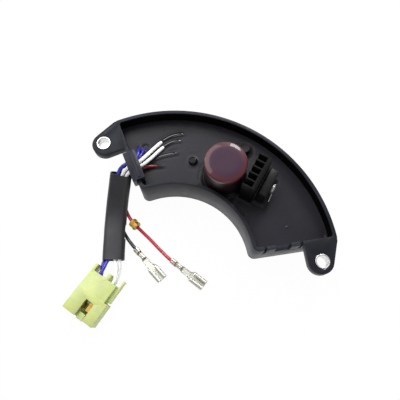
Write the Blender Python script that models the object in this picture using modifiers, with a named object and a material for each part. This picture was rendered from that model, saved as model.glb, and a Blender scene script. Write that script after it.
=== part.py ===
"""Automatic voltage regulator of a portable generator: an open, C-shaped moulded tray with two eared ends,
filled with black potting over its circuit board, and its leads ending in a plug and two spade terminals.

Frame: +X from the left ear to the right ear, +Y towards the outer arc, +Z up out of the open tray.
Points below are written from the middle of the line through the two mounting holes; the parent empty
moves that point so that the origin lies under the middle of the tray and its potted parts.
"""

import math

import bmesh
import bpy
from mathutils import Matrix, Vector

MM = 0.001
MERGE = 0.000002

# Housing: a sector of a ring, with a plane wall at each end.
HOLE_PITCH = 128.0 * MM
ARC_DROP = 36.0 * MM
OUTER_RADIUS = 82.6 * MM
INNER_RADIUS = 40.0 * MM
HOUSING_HEIGHT = 22.0 * MM
WALL = 1.8 * MM
END_WALL = 2.0 * MM
FLOOR = 2.0 * MM
CORNER_RADIUS = 3.6 * MM
BACK_CORNER_RADIUS = 1.5 * MM
ARC_STEP = math.radians(3.0)

# Ears, flush with the rim, with a pressed-in metal bush each.
EAR_THICKNESS = 5.0 * MM
EAR_RADIUS = 6.4 * MM
EAR_INSET = 0.6 * MM
EAR_REACH = 11.4139 * MM
EAR_SHOULDER_LEAD = math.radians(1.5)
EAR_ROOT_RADIUS = 65.6 * MM
EAR_BITE = 0.2 * MM
BUSH_OUTER = 7.3 * MM
BUSH_BORE = 6.0 * MM
BUSH_STAND = 0.3 * MM
BUSH_SEAT = 0.3 * MM

# The end radius passes each hole at the ear's reach, so the end walls follow the holes.
HOLE_RADIUS = math.hypot(ARC_DROP, HOLE_PITCH / 2)
END_ANGLE = math.atan2(ARC_DROP, HOLE_PITCH / 2) + math.asin(EAR_REACH / HOLE_RADIUS)

# Comb in each end wall, as distances from the arc's centre: clamp slot, tooth, lead notch, tooth, clamp slot.
SLOT_WIDTH = 1.5 * MM
SLOT_INNER = 45.5 * MM
SLOT_OUTER = 63.8 * MM
NOTCH_START = 51.4 * MM
NOTCH_END = 59.4 * MM
NOTCH_SILL = 15.2 * MM
RELIEF_WIDTH = 1.0 * MM
SLOT_SILL = 14.4 * MM

# Clamp bar over the leads. Its tongue runs on from the bar's end, flat on the wall, to the outer leg.
CLAMP_LENGTH = 16.5 * MM
CLAMP_THICKNESS = 2.0 * MM
CLAMP_TONGUE = 0.8 * MM
CLAMP_INSIDE = 2.4 * MM
CLAMP_OUTSIDE = 2.2 * MM
CLAMP_LATCH = 2.8 * MM
CLAMP_LATCH_FOOT = 17.2 * MM
LEAD_STACK_TOP = 20.1 * MM

# Clearance that touching pieces keep, and the potting's level.
GAP = 0.3 * MM
POTTING_LEVEL = 13.8 * MM

# Circuit board on four moulded posts.
POST_HEIGHT = 3.0 * MM
POST_RADIUS = 2.6 * MM
BOARD_THICKNESS = 1.6 * MM
BOARD_MARGIN = 1.2 * MM
LEG_TAIL = 1.2 * MM

# Main capacitor. The spots of this and the other potted parts are measured from the arc's centre.
CAPACITOR_RADIUS = 11.0 * MM
CAPACITOR_TOP = 35.5 * MM
CAPACITOR_SPOT = (-0.4 * MM, 53.6 * MM)
CAPACITOR_SLEEVE = 0.35 * MM
CAPACITOR_PIN_PITCH = 10.0 * MM
CAPACITOR_PIN_RADIUS = 0.75 * MM

# Comb heat sink, its spine along Y with the fins towards the capacitor.
SINK_TOP = 35.0 * MM
SINK_SPINE_X = 16.9 * MM
SINK_SPINE = 2.3 * MM
SINK_FIN_LENGTH = 4.9 * MM
SINK_FIN = 0.9 * MM
SINK_FIN_PITCH = 3.7 * MM
SINK_FINS = 6
SINK_START = 47.2 * MM

# Power transistor against the spine, with its pad and screw.
PAD_THICKNESS = 0.4 * MM
TRANSISTOR_WIDTH = 15.6 * MM
TRANSISTOR_DEPTH = 4.8 * MM
TRANSISTOR_BOTTOM = 9.0 * MM
TRANSISTOR_HEIGHT = 18.5 * MM
TRANSISTOR_LEAD = 2.6 * MM
TRANSISTOR_LEG_PITCH = 5.45 * MM
SCREW_DIAMETER = 3.0 * MM
SCREW_HEAD_DIAMETER = 5.5 * MM
SCREW_HEAD_HEIGHT = 1.6 * MM
SCREW_HEIGHT = 21.5 * MM

# Leads. The sleeve is a flattened tube round all six.
LEAD_DIAMETER = 1.9 * MM
SLEEVE_WIDTH = 12.0 * MM
SLEEVE_THICKNESS = 6.4 * MM
SLEEVE_WALL = 0.6 * MM
SLEEVE_SLIT = 8.0 * MM
LAYER_OFFSET = 1.15 * MM

# Plug: a nylon housing with two columns and two rows of blade contacts.
PLUG_FRONT = Vector((-28.9, -82.2, 0.0)) * MM
PLUG_TURN = math.radians(-5.0)
PLUG_WIDTH = 18.2 * MM
PLUG_REAR_WIDTH = 15.9 * MM
PLUG_REAR_INSET = 0.15 * MM
PLUG_HEIGHT = 10.0 * MM
PLUG_SHROUD = 13.0 * MM
PLUG_LENGTH = 23.0 * MM
PLUG_WALL = 1.3 * MM
PLUG_CAVITY = 8.0 * MM
PLUG_COLUMN = 4.3 * MM
PLUG_ROWS = (2.9 * MM, 7.1 * MM)
CONTACT_WIDTH = 6.3 * MM
CONTACT_THICKNESS = 2.0 * MM
CONTACT_FRONT = 4.7 * MM
CONTACT_LENGTH = 8.0 * MM
CONTACT_TAIL = 4.0 * MM

# Spade terminals of the 6.3 mm series.
SPADE_WIDTH = 6.0 * MM
SPADE_HEIGHT = 2.9 * MM
SPADE_SHEET = 0.8 * MM
SPADE_BARREL = 8.2 * MM
SPADE_NECK = 6.8 * MM
SPADE_GRIP = 4.0 * MM
SPADE_INSULATION_GRIP = 3.2 * MM
SPADE_GRIP_RADIUS = 1.65 * MM
RED_SPADE_PLACE = Vector((-3.4, -33.8, 0.0)) * MM
RED_SPADE_TURN = math.radians(-8.0)
BLACK_SPADE_PLACE = Vector((-23.4, -38.0, 0.0)) * MM
BLACK_SPADE_TURN = math.radians(-18.0)

# Marker ring on the red lead.
MARKER_RADIUS = 2.6 * MM
MARKER_LENGTH = 4.6 * MM

# Small parts in the potting: round ones by radius and height over the tray's foot, boxed ones by their three
# sides, and lying ones by radius and length.
SMALL_CAPACITOR_SPOT = (2.2 * MM, 72.2 * MM)
SMALL_CAPACITOR_RADIUS = 3.2 * MM
SMALL_CAPACITOR_TOP = 19.5 * MM
SMALL_CAPACITOR_EDGE = 0.6 * MM
SMALL_CAPACITOR_PITCH = 2.5 * MM
FILTER_SPOT = (-19.0 * MM, 53.2 * MM)
FILTER_RADIUS = 2.6 * MM
FILTER_TOP = 15.4 * MM
FILTER_EDGE = 1.6 * MM
FILTER_PITCH = 2.0 * MM
BRIDGE_SPOT = (38.0 * MM, 48.0 * MM)
BRIDGE_SIZE = (8.4 * MM, 6.4 * MM, 3.3 * MM)
BRIDGE_PITCH = 7.0 * MM
BRIDGE_ROW = 2.5 * MM
POWER_RESISTOR_SPOT = (42.0 * MM, 64.0 * MM)
POWER_RESISTOR_SIZE = (14.0 * MM, 5.2 * MM, 5.0 * MM)
POWER_RESISTOR_PITCH = 11.0 * MM
THICK_LEG = 0.45 * MM
FILM_SPOT = (29.6 * MM, 67.6 * MM)
FILM_SIZE = (9.0 * MM, 4.6 * MM, 4.8 * MM)
FILM_PITCH = 7.5 * MM
TRIMMER_SPOT = (-14.0 * MM, 69.0 * MM)
TRIMMER_SIZE = (6.6 * MM, 6.6 * MM, 4.8 * MM)
TRIMMER_PITCH = 5.0 * MM
TRIMMER_ROW = -1.2 * MM
DIODE_SPOTS = ((52.0 * MM, 50.0 * MM), (28.5 * MM, 38.2 * MM))
DIODE_RADIUS = 1.35 * MM
DIODE_LENGTH = 5.2 * MM
DIODE_PITCH = 8.5 * MM
GATE_SPOTS = ((-17.6 * MM, 60.4 * MM), (-19.4 * MM, 44.6 * MM))
GATE_RADIUS = 1.25 * MM
GATE_LENGTH = 6.2 * MM
GATE_PITCH = 9.0 * MM
SIGNAL_SPOTS = ((-24.6 * MM, 72.6 * MM), (-43.0 * MM, 62.6 * MM))
SIGNAL_SIZE = (4.6 * MM, 3.6 * MM, 4.6 * MM)
SIGNAL_PITCH = 2.54 * MM

BOARD_BOTTOM = FLOOR + POST_HEIGHT + GAP
BOARD_TOP = BOARD_BOTTOM + BOARD_THICKNESS
PART_BASE = BOARD_TOP + GAP
LEG_END = BOARD_BOTTOM - LEG_TAIL
ARC_CENTRE = Vector((0.0, -ARC_DROP))
CAPACITOR_PLACE = ARC_CENTRE + Vector(CAPACITOR_SPOT)
SINK_START_Y = ARC_CENTRE.y + SINK_START
TRANSISTOR_START_Y = SINK_START_Y + TRANSISTOR_LEAD

# Routes, chosen by hand, in millimetres from the hole line: the sleeve's middle line, then each lead from the
# board to the sleeve, and from the sleeve to its end.
SLEEVE_ROUTE = [
    (-48.6, -8.8, 15.5), (-47.9, -11.3, 13.7), (-47.1, -13.8, 11.8), (-46.2, -16.8, 9.5),
    (-45.1, -20.2, 7.2), (-43.5, -24.2, 5.3), (-41.4, -28.7, 4.0), (-38.8, -33.8, 3.4),
    (-35.9, -38.9, 3.25), (-33.0, -44.0, 3.25), (-30.0, -49.1, 3.25),
]
BLUE_A_HEAD = [
    (-49.2, 12.0, 7.2), (-49.2, 12.0, 9.2), (-49.1, 11.2, 11.6), (-48.6, 9.2, 14.2), (-47.5, 7.2, 16.9),
    (-45.9, 4.6, 18.6), (-45.1, 1.8, 19.0), (-45.8, -0.1, 19.0), (-47.2, -1.9, 18.9),
    (-48.9, -4.1, 18.5), (-49.9, -6.4, 17.8), (-50.0, -8.4, 17.1),
]
BLUE_B_HEAD = [
    (-46.2, 13.2, 7.2), (-46.2, 13.2, 9.2), (-46.2, 12.2, 11.4), (-46.1, 9.6, 13.7), (-45.4, 6.6, 15.3),
    (-45.0, 4.0, 16.4), (-45.0, 1.7, 16.6), (-45.8, -0.1, 16.6), (-47.1, -1.9, 16.5),
    (-49.0, -3.7, 16.1), (-50.4, -5.6, 15.4),
]
WHITE_A_HEAD = [
    (-29.6, 29.8, 7.2), (-29.6, 29.8, 9.2), (-31.0, 29.2, 11.2), (-33.8, 27.6, 12.1),
    (-36.6, 24.9, 12.1), (-38.6, 21.8, 12.4), (-40.1, 18.4, 13.9), (-40.9, 13.0, 16.0),
    (-41.7, 7.0, 17.8), (-42.6, 2.3, 18.8), (-43.5, -0.4, 19.0), (-44.5, -2.2, 19.0),
    (-46.1, -4.0, 18.7), (-47.2, -6.3, 17.7),
]
WHITE_B_HEAD = [
    (-28.8, 25.0, 7.2), (-28.8, 25.0, 9.2), (-30.2, 24.6, 11.2), (-32.9, 23.4, 12.1),
    (-35.0, 21.3, 12.1), (-36.5, 18.9, 12.5), (-37.6, 16.2, 13.9), (-38.3, 11.0, 16.0),
    (-39.0, 5.6, 17.8), (-40.1, 1.2, 18.8), (-41.6, -1.8, 19.0), (-42.7, -3.6, 19.0),
    (-44.2, -5.3, 18.5),
]
BLACK_HEAD = [
    (-26.8, 18.6, 7.2), (-26.8, 18.6, 9.2), (-28.6, 17.6, 11.2), (-31.4, 15.3, 12.1),
    (-34.2, 12.7, 12.2), (-36.8, 9.8, 12.8), (-39.0, 6.8, 14.1), (-41.1, 3.6, 15.6), (-43.1, 0.3, 16.5),
    (-44.5, -2.2, 16.6), (-46.1, -3.9, 16.4), (-47.4, -5.7, 15.6),
]
RED_HEAD = [
    (-29.8, 8.3, 7.2), (-29.8, 8.3, 9.2), (-31.6, 7.0, 11.6), (-34.4, 5.1, 13.8), (-37.0, 3.1, 15.4),
    (-39.5, 0.7, 16.4), (-41.3, -1.6, 16.6), (-42.5, -3.7, 16.6), (-44.1, -5.2, 16.1),
]
BLUE_A_TAIL = [
    (-31.9, -53.0, 5.4), (-31.3, -55.6, 6.5), (-31.1, -58.2, 7.1), (-31.3, -60.2, 7.1),
    (-31.7, -64.9, 7.1),
]
BLUE_B_TAIL = [
    (-33.9, -52.5, 3.3), (-32.7, -55.5, 3.6), (-31.6, -58.2, 3.1), (-31.4, -60.2, 2.9),
    (-31.7, -64.9, 2.9),
]
WHITE_A_TAIL = [
    (-26.9, -51.2, 5.4), (-24.5, -54.4, 6.5), (-22.9, -57.2, 7.1), (-22.7, -60.2, 7.1),
    (-23.1, -65.6, 7.1),
]
WHITE_B_TAIL = [
    (-25.0, -50.6, 3.4), (-23.8, -53.8, 2.9), (-22.8, -57.2, 2.9), (-22.7, -60.2, 2.9),
    (-23.1, -65.6, 2.9),
]
RED_TAIL = [
    (-40.6, -20.8, 5.0), (-38.7, -22.7, 3.3), (-36.1, -24.5, 2.6), (-33.5, -25.8, 2.6),
    (-30.8, -26.8, 2.6), (-27.0, -27.8, 2.2), (-23.2, -28.7, 1.6), (-19.5, -29.6, 1.1),
    (-15.6, -30.7, 1.0), (-11.8, -31.8, 1.1), (-8.2, -32.8, 1.4), (-4.9, -33.6, 1.65),
    (-0.8, -34.2, 1.65),
]
BLACK_TAIL = [
    (-41.8, -23.2, 4.2), (-39.2, -27.6, 2.9), (-37.2, -30.4, 2.3), (-34.9, -32.6, 1.7),
    (-32.3, -34.2, 1.2), (-29.4, -35.7, 1.0), (-26.9, -36.7, 1.3), (-24.8, -37.5, 1.65),
    (-20.9, -38.8, 1.65),
]


def new_material(name, colour, roughness, metallic=0.0):
    finish = bpy.data.materials.new(name)
    finish.use_nodes = True
    shader = finish.node_tree.nodes["Principled BSDF"]
    shader.inputs["Base Color"].default_value = (*colour, 1.0)
    shader.inputs["Roughness"].default_value = roughness
    shader.inputs["Metallic"].default_value = metallic
    return finish


# Scene, collections and finishes.
for old in list(bpy.data.objects):
    bpy.data.objects.remove(old)
PARTS = bpy.data.collections.new("voltage_regulator")
CUTTERS = bpy.data.collections.new("cutters")
BOARD_HOLES = bpy.data.collections.new("board_holes")
POTTING_POCKETS = bpy.data.collections.new("potting_pockets")
for group in (PARTS, CUTTERS):
    bpy.context.scene.collection.children.link(group)
for group in (BOARD_HOLES, POTTING_POCKETS):
    CUTTERS.children.link(group)

BLACK_NYLON = new_material("black_nylon", (0.045, 0.045, 0.055), 0.45)
PLATED_STEEL = new_material("plated_steel", (0.75, 0.75, 0.74), 0.25, 1.0)
POTTING = new_material("black_potting", (0.035, 0.035, 0.042), 0.2)
LAMINATE = new_material("green_laminate", (0.05, 0.22, 0.10), 0.5)
ALUMINIUM = new_material("bare_aluminium", (0.80, 0.80, 0.80), 0.35, 1.0)
BROWN_FILM = new_material("brown_shrink_film", (0.085, 0.035, 0.060), 0.3)
BLACK_ANODISED = new_material("black_anodised", (0.015, 0.015, 0.016), 0.4, 0.3)
EPOXY = new_material("black_epoxy", (0.03, 0.03, 0.032), 0.5)
GREY_PAD = new_material("grey_silicone_pad", (0.45, 0.45, 0.47), 0.8)
CERAMIC = new_material("white_cement", (0.78, 0.76, 0.70), 0.9)
TAN_LACQUER = new_material("tan_lacquer", (0.62, 0.46, 0.27), 0.5)
BLUE_PVC = new_material("blue_pvc", (0.025, 0.025, 0.27), 0.35)
WHITE_PVC = new_material("white_pvc", (0.88, 0.88, 0.86), 0.35)
RED_PVC = new_material("red_pvc", (0.42, 0.03, 0.06), 0.35)
BLACK_PVC = new_material("black_pvc", (0.01, 0.01, 0.01), 0.4)
SLEEVE_VINYL = new_material("grey_black_vinyl", (0.04, 0.04, 0.042), 0.55)
PLUG_NYLON = new_material("pale_yellow_nylon", (0.70, 0.78, 0.36), 0.45)
BRASS = new_material("brass", (0.72, 0.48, 0.13), 0.3, 1.0)
TIN = new_material("tin_plate", (0.62, 0.61, 0.54), 0.3, 1.0)
AMBER = new_material("amber_nylon", (0.70, 0.36, 0.03), 0.35)


# Placing and combining.
def add(name, mesh, finish, matrix=None, group=None):
    """A part when it has a finish, and a cutter when it has none."""
    piece = bpy.data.objects.new(name, mesh)
    (group or (PARTS if finish else CUTTERS)).objects.link(piece)
    piece.parent = REGULATOR
    if matrix is not None:
        piece.matrix_local = matrix
    if finish:
        mesh.materials.append(finish)
    else:
        piece.hide_render = True
        piece.display_type = "WIRE"
    return piece


def combine(target, tool, operation):
    step = target.modifiers.new(operation.lower(), "BOOLEAN")
    step.operation = operation
    if isinstance(tool, bpy.types.Collection):
        step.operand_type = "COLLECTION"
        step.collection = tool
    else:
        step.object = tool


def join(target, tool):
    combine(target, tool, "UNION")


def cut(target, tool):
    combine(target, tool, "DIFFERENCE")


def mesh_from(build):
    """Runs build on an empty bmesh and returns the finished mesh."""
    shape = bmesh.new()
    build(shape)
    mesh = bpy.data.meshes.new("shape")
    shape.to_mesh(mesh)
    shape.free()
    return mesh


def block(name, low, high, finish=None, matrix=None, group=None):
    """A box between two corners."""
    low, high = Vector(low), Vector(high)
    place = Matrix.Translation((low + high) / 2) @ Matrix.Diagonal((*(high - low), 1.0))
    mesh = mesh_from(lambda shape: bmesh.ops.create_cube(shape, size=1.0, matrix=place))
    return add(name, mesh, finish, matrix, group)


def rod(name, base, radius, length, finish=None, matrix=None, group=None, axis="Z", sides=32):
    """A cylinder from its base point along an axis."""
    turn = Matrix.Rotation(math.pi / 2, 4, "Y") if axis == "X" else Matrix()
    place = Matrix.Translation(base) @ turn @ Matrix.Translation((0, 0, length / 2))
    mesh = mesh_from(lambda shape: bmesh.ops.create_cone(
        shape, cap_ends=True, segments=sides, radius1=radius, radius2=radius, depth=length, matrix=place))
    return add(name, mesh, finish, matrix, group)


def smooth(piece):
    piece.data.shade_smooth()
    piece.data.set_sharp_from_angle(angle=math.radians(35))


def mesh_from_curve(curve):
    """The closed mesh of a curve, with its caps welded on."""
    holder = bpy.data.objects.new("curve", curve)
    PARTS.objects.link(holder)
    mesh = bpy.data.meshes.new_from_object(holder.evaluated_get(bpy.context.evaluated_depsgraph_get()))
    bpy.data.objects.remove(holder)
    shape = bmesh.new()
    shape.from_mesh(mesh)
    bmesh.ops.remove_doubles(shape, verts=shape.verts, dist=MERGE)
    bmesh.ops.recalc_face_normals(shape, faces=shape.faces)
    shape.to_mesh(mesh)
    shape.free()
    mesh.materials.clear()
    return mesh


def add_spline(curve, points, closed):
    spline = curve.splines.new("POLY")
    spline.points.add(len(points) - 1)
    for point, place in zip(spline.points, points):
        point.co = (*place, 1.0)
    spline.use_cyclic_u = closed
    return spline


def prism(name, outline, start, end, finish=None, matrix=None, group=None):
    """A flat outline in XY, extruded from start to end along Z."""
    curve = bpy.data.curves.new(name, "CURVE")
    curve.dimensions = "2D"
    curve.fill_mode = "BOTH"
    curve.extrude = (end - start) / 2
    add_spline(curve, [(x, y, 0.0) for x, y in outline], True)
    mesh = mesh_from_curve(curve)
    mesh.transform(Matrix.Translation((0, 0, (start + end) / 2)))
    return add(name, mesh, finish, matrix, group)


def turned(name, profile, finish=None, matrix=None, group=None, steps=40):
    """A profile of (radius, height) points, listed down its outer side, turned about Z."""
    mesh = bpy.data.meshes.new(name)
    points = [(radius, 0.0, height) for radius, height in profile]
    closed = profile[0][0] > MERGE
    edges = [(i, i + 1) for i in range(len(points) - 1)] + ([(len(points) - 1, 0)] if closed else [])
    mesh.from_pydata(points, edges, [])
    piece = add(name, mesh, finish, matrix, group)
    turn = piece.modifiers.new("turn", "SCREW")
    turn.steps = turn.render_steps = steps
    turn.use_merge_vertices = True
    turn.merge_threshold = MERGE
    turn.use_smooth_shade = True
    return piece


def smooth_points(route, spacing):
    """Points along a smooth curve through a route, one each spacing or so."""
    knots = [Vector(point) * MM for point in route]
    knots = [knots[0] * 2 - knots[1]] + knots + [knots[-1] * 2 - knots[-2]]
    points = []
    for i in range(1, len(knots) - 2):
        before, a, b, after = knots[i - 1:i + 3]
        count = max(1, round((b - a).length / spacing))
        for step in range(count):
            t = step / count
            points.append(0.5 * (2 * a + (b - before) * t + (2 * before - 5 * a + 4 * b - after) * t ** 2
                                 + (3 * a - before - 3 * b + after) * t ** 3))
    return points + [knots[-2]]


def sleeve_lane(start, end, layer, last=len(SLEEVE_ROUTE)):
    """A lead's way through the sleeve: its side offset goes from start to end, and it stays in its layer."""
    knots = [Vector(point) for point in SLEEVE_ROUTE]
    lane = []
    for i, knot in enumerate(knots[:last]):
        along = (knots[min(i + 1, len(knots) - 1)] - knots[max(i - 1, 0)]).normalized()
        side = Vector((0, 0, 1)).cross(along).normalized()
        share = i / (len(knots) - 1)
        offset = side * (start + (end - start) * share)
        lane.append(knot + offset + along.cross(side) * (layer * LAYER_OFFSET / MM))
    return [tuple(point) for point in lane]


def lead_mesh(route, diameter):
    curve = bpy.data.curves.new("lead", "CURVE")
    curve.dimensions = "3D"
    curve.bevel_depth = diameter / 2
    curve.bevel_resolution = 2
    curve.render_resolution_u = 0
    curve.use_fill_caps = True
    add_spline(curve, smooth_points(route, 2.4 * LEAD_DIAMETER), False)
    return mesh_from_curve(curve)


# Outlines.
def polar(radius, angle):
    return ARC_CENTRE + Vector((math.cos(angle), math.sin(angle))) * radius


def arc(centre, radius, start, end, step=ARC_STEP):
    count = max(1, math.ceil(abs(end - start) / step))
    angles = [start + (end - start) * i / count for i in range(count + 1)]
    return [centre + Vector((math.cos(a), math.sin(a))) * radius for a in angles]


def sector_outline(inner, outer, outset, inner_fillet, outer_fillet):
    """A ring sector about the arc's centre, its end faces set out from the end radii, its corners rounded."""
    inner_lean = math.asin((inner_fillet - outset) / (inner + inner_fillet))
    outer_lean = math.asin((outer_fillet - outset) / (outer - outer_fillet))
    away = END_ANGLE - math.pi / 2
    inner_centre = polar(inner + inner_fillet, END_ANGLE + inner_lean)
    outer_centre = polar(outer - outer_fillet, END_ANGLE + outer_lean)
    corner_step = math.radians(15)
    inner_turn = END_ANGLE + inner_lean + math.pi
    right = arc(ARC_CENTRE, inner, math.pi / 2, END_ANGLE + inner_lean)
    right += arc(inner_centre, inner_fillet, inner_turn, away + 2 * math.pi, corner_step)[1:]
    right += arc(outer_centre, outer_fillet, away, END_ANGLE + outer_lean, corner_step)
    right += arc(ARC_CENTRE, outer, END_ANGLE + outer_lean, math.pi / 2)[1:]
    left = [Vector((-p.x, p.y)) for p in reversed(right[1:-1])]
    return right + left


def tangent_angle(point, centre, radius, side):
    """Where a line from a point touches a circle, as an angle at the circle's centre."""
    reach = Vector(point) - Vector(centre)
    return math.atan2(reach.y, reach.x) + side * math.acos(radius / reach.length)


def ear_outline(side):
    centre = Vector((HOLE_PITCH / 2 - EAR_INSET, -EAR_INSET / 2))
    shoulder = polar(OUTER_RADIUS - EAR_BITE, END_ANGLE - EAR_SHOULDER_LEAD)
    outward = Vector((math.sin(END_ANGLE), -math.cos(END_ANGLE)))
    root = polar(EAR_ROOT_RADIUS, END_ANGLE) + outward * (END_WALL - EAR_BITE)
    start = tangent_angle(shoulder, centre, EAR_RADIUS, -1)
    end = tangent_angle(root, centre, EAR_RADIUS, 1)
    tip = arc(centre, EAR_RADIUS, start, end - 2 * math.pi, math.radians(10))
    inside = [polar(EAR_ROOT_RADIUS, END_ANGLE + 0.04), polar(OUTER_RADIUS - WALL / 2, END_ANGLE + 0.04)]
    points = [shoulder] + tip + [root] + inside
    return [(side * p.x, p.y) for p in points]


def end_frame(side):
    """Local X runs out along the end wall from the arc's centre."""
    angle = END_ANGLE if side > 0 else math.pi - END_ANGLE
    return Matrix.Translation((*ARC_CENTRE, 0.0)) @ Matrix.Rotation(angle, 4, "Z")


def end_block(name, side, along, out, up, finish=None):
    """A box at an end wall: its span along the wall, outwards through it, and up."""
    across = sorted((-side * out[0], -side * out[1]))
    return block(name, (along[0], across[0], up[0]), (along[1], across[1], up[1]), finish, end_frame(side))


# The empty that carries everything, over the middle of the housing's own box.
FOOTPRINT = sector_outline(INNER_RADIUS, OUTER_RADIUS, END_WALL, CORNER_RADIUS, BACK_CORNER_RADIUS)
LOWEST = min([p.y for p in FOOTPRINT] + [y for _, y in ear_outline(1)])
REGULATOR = bpy.data.objects.new("regulator_frame", None)
PARTS.objects.link(REGULATOR)
REGULATOR.location = (0.0, -(OUTER_RADIUS - ARC_DROP + LOWEST) / 2, 0.0)


# Housing, bushes and clamp.
def build_housing():
    above = HOUSING_HEIGHT + 2 * MM
    housing = prism("housing", FOOTPRINT, 0.0, HOUSING_HEIGHT, BLACK_NYLON)
    for side in (-1, 1):
        join(housing, prism(f"ear_{side}", ear_outline(side), HOUSING_HEIGHT - EAR_THICKNESS, HOUSING_HEIGHT))
    tray = sector_outline(INNER_RADIUS + WALL, OUTER_RADIUS - WALL, 0.0, CORNER_RADIUS - WALL,
                          BACK_CORNER_RADIUS)
    cut(housing, prism("tray", tray, FLOOR, above))
    for i, place in enumerate(post_places()):
        join(housing, rod(f"post_{i}", (*place, FLOOR / 2), POST_RADIUS, FLOOR / 2 + POST_HEIGHT, sides=20))
    for side in (-1, 1):
        hole = BUSH_OUTER / 2 + BUSH_SEAT
        cut(housing, rod(f"ear_hole_{side}", (side * HOLE_PITCH / 2, 0, 0), hole, above, sides=48))
        through = (-MM, END_WALL + MM)
        openings = {
            "inner_slot": (SLOT_INNER, SLOT_INNER + SLOT_WIDTH, SLOT_SILL),
            "outer_slot": (SLOT_OUTER, SLOT_OUTER + SLOT_WIDTH, SLOT_SILL),
            "notch": (NOTCH_START, NOTCH_END - RELIEF_WIDTH / 2, NOTCH_SILL),
            "relief": (NOTCH_END - RELIEF_WIDTH, NOTCH_END, SLOT_SILL),
        }
        for name, (start, end, sill) in openings.items():
            cut(housing, end_block(f"{name}_{side}", side, (start, end), through, (sill, above)))
    return housing


def post_places():
    inner, outer = INNER_RADIUS + WALL + 6 * MM, OUTER_RADIUS - WALL - 6 * MM
    spread = math.radians(44)
    return [polar(radius, math.pi / 2 + turn) for radius in (inner, outer) for turn in (-spread, spread)]


def build_bush(name, side):
    low, high = HOUSING_HEIGHT - EAR_THICKNESS - BUSH_STAND, HOUSING_HEIGHT + BUSH_STAND
    bore, outer = BUSH_BORE / 2, BUSH_OUTER / 2
    place = Matrix.Translation((side * HOLE_PITCH / 2, 0, 0))
    profile = [(outer, high), (outer, low), (bore, low), (bore, high)]
    return turned(name, profile, PLATED_STEEL, place, steps=48)


def build_wire_clamp():
    """A bar across the leads, its legs sprung into the two clamp slots of the left end wall."""
    side = -1
    bottom = HOUSING_HEIGHT + GAP
    top = bottom + CLAMP_THICKNESS
    out = (-CLAMP_INSIDE, END_WALL + CLAMP_OUTSIDE)
    bar_end = SLOT_INNER + CLAMP_LENGTH
    clamp = end_block("wire_clamp", side, (SLOT_INNER, bar_end), out, (bottom, top), BLACK_NYLON)
    join(clamp, end_block("inner_leg", side, (SLOT_INNER + GAP, SLOT_INNER + SLOT_WIDTH - GAP),
                          (out[0] + GAP, out[1] - GAP), (SLOT_SILL + GAP, top - GAP)))
    tongue_top = bottom + CLAMP_TONGUE
    step = 0.1 * MM
    tongue_out = (step, END_WALL - step)
    leg_out = (2 * step, END_WALL - 2 * step)
    join(clamp, end_block("tongue", side, (bar_end - MM, SLOT_OUTER + SLOT_WIDTH), tongue_out,
                          (bottom + step, tongue_top)))
    join(clamp, end_block("outer_leg", side, (SLOT_OUTER + GAP, SLOT_OUTER + SLOT_WIDTH - GAP), leg_out,
                          (SLOT_SILL + GAP, tongue_top - step)))
    join(clamp, end_block("lead_press", side, (NOTCH_START + GAP, NOTCH_END - RELIEF_WIDTH - GAP),
                          (GAP, END_WALL - GAP), (LEAD_STACK_TOP + GAP, top - GAP)))
    join(clamp, end_block("ridge", side, (SLOT_INNER + MM, bar_end - MM), (-0.3 * MM, 0.7 * MM),
                          (bottom + GAP, top + 0.5 * MM)))
    join(clamp, end_block("latch", side, (SLOT_INNER - step, SLOT_INNER + CLAMP_LATCH),
                          (END_WALL + GAP, out[1] - step), (CLAMP_LATCH_FOOT, top - GAP)))
    return clamp


# Board and what stands on it.
def solder_legs(piece, places, radius, base=PART_BASE):
    """Legs from a piece down through the board, with their holes in the board and the potting."""
    for i, place in enumerate(places):
        name = f"{piece.name}_leg_{i}"
        top = base + 0.8 * MM
        join(piece, rod(name, (*place, LEG_END), radius, top - LEG_END, sides=12))
        rod(f"{name}_hole", (*place, BOARD_BOTTOM - MM), radius + GAP, BOARD_THICKNESS + 2 * MM,
            group=BOARD_HOLES, sides=12)
        rod(f"{name}_pocket", (*place, LEG_END - GAP), radius + GAP, base - LEG_END + GAP,
            group=POTTING_POCKETS, sides=12)


def potting_pocket(name, low, high, turn=None):
    """Room for a boxed part, GAP clear of it on all sides."""
    spare = Vector((GAP, GAP, GAP))
    block(f"{name}_pocket", Vector(low) - spare, Vector(high) + spare, matrix=turn, group=POTTING_POCKETS)


def board_outline(grow=0.0):
    inner, outer = INNER_RADIUS + WALL + BOARD_MARGIN - grow, OUTER_RADIUS - WALL - BOARD_MARGIN + grow
    return sector_outline(inner, outer, grow - BOARD_MARGIN, 1.5 * MM, 1.5 * MM)


def build_board():
    board = prism("circuit_board", board_outline(), BOARD_BOTTOM, BOARD_TOP, LAMINATE)
    cut(board, BOARD_HOLES)
    prism("board_pocket", board_outline(GAP), BOARD_BOTTOM - GAP, BOARD_TOP + GAP, group=POTTING_POCKETS)
    return board


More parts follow.
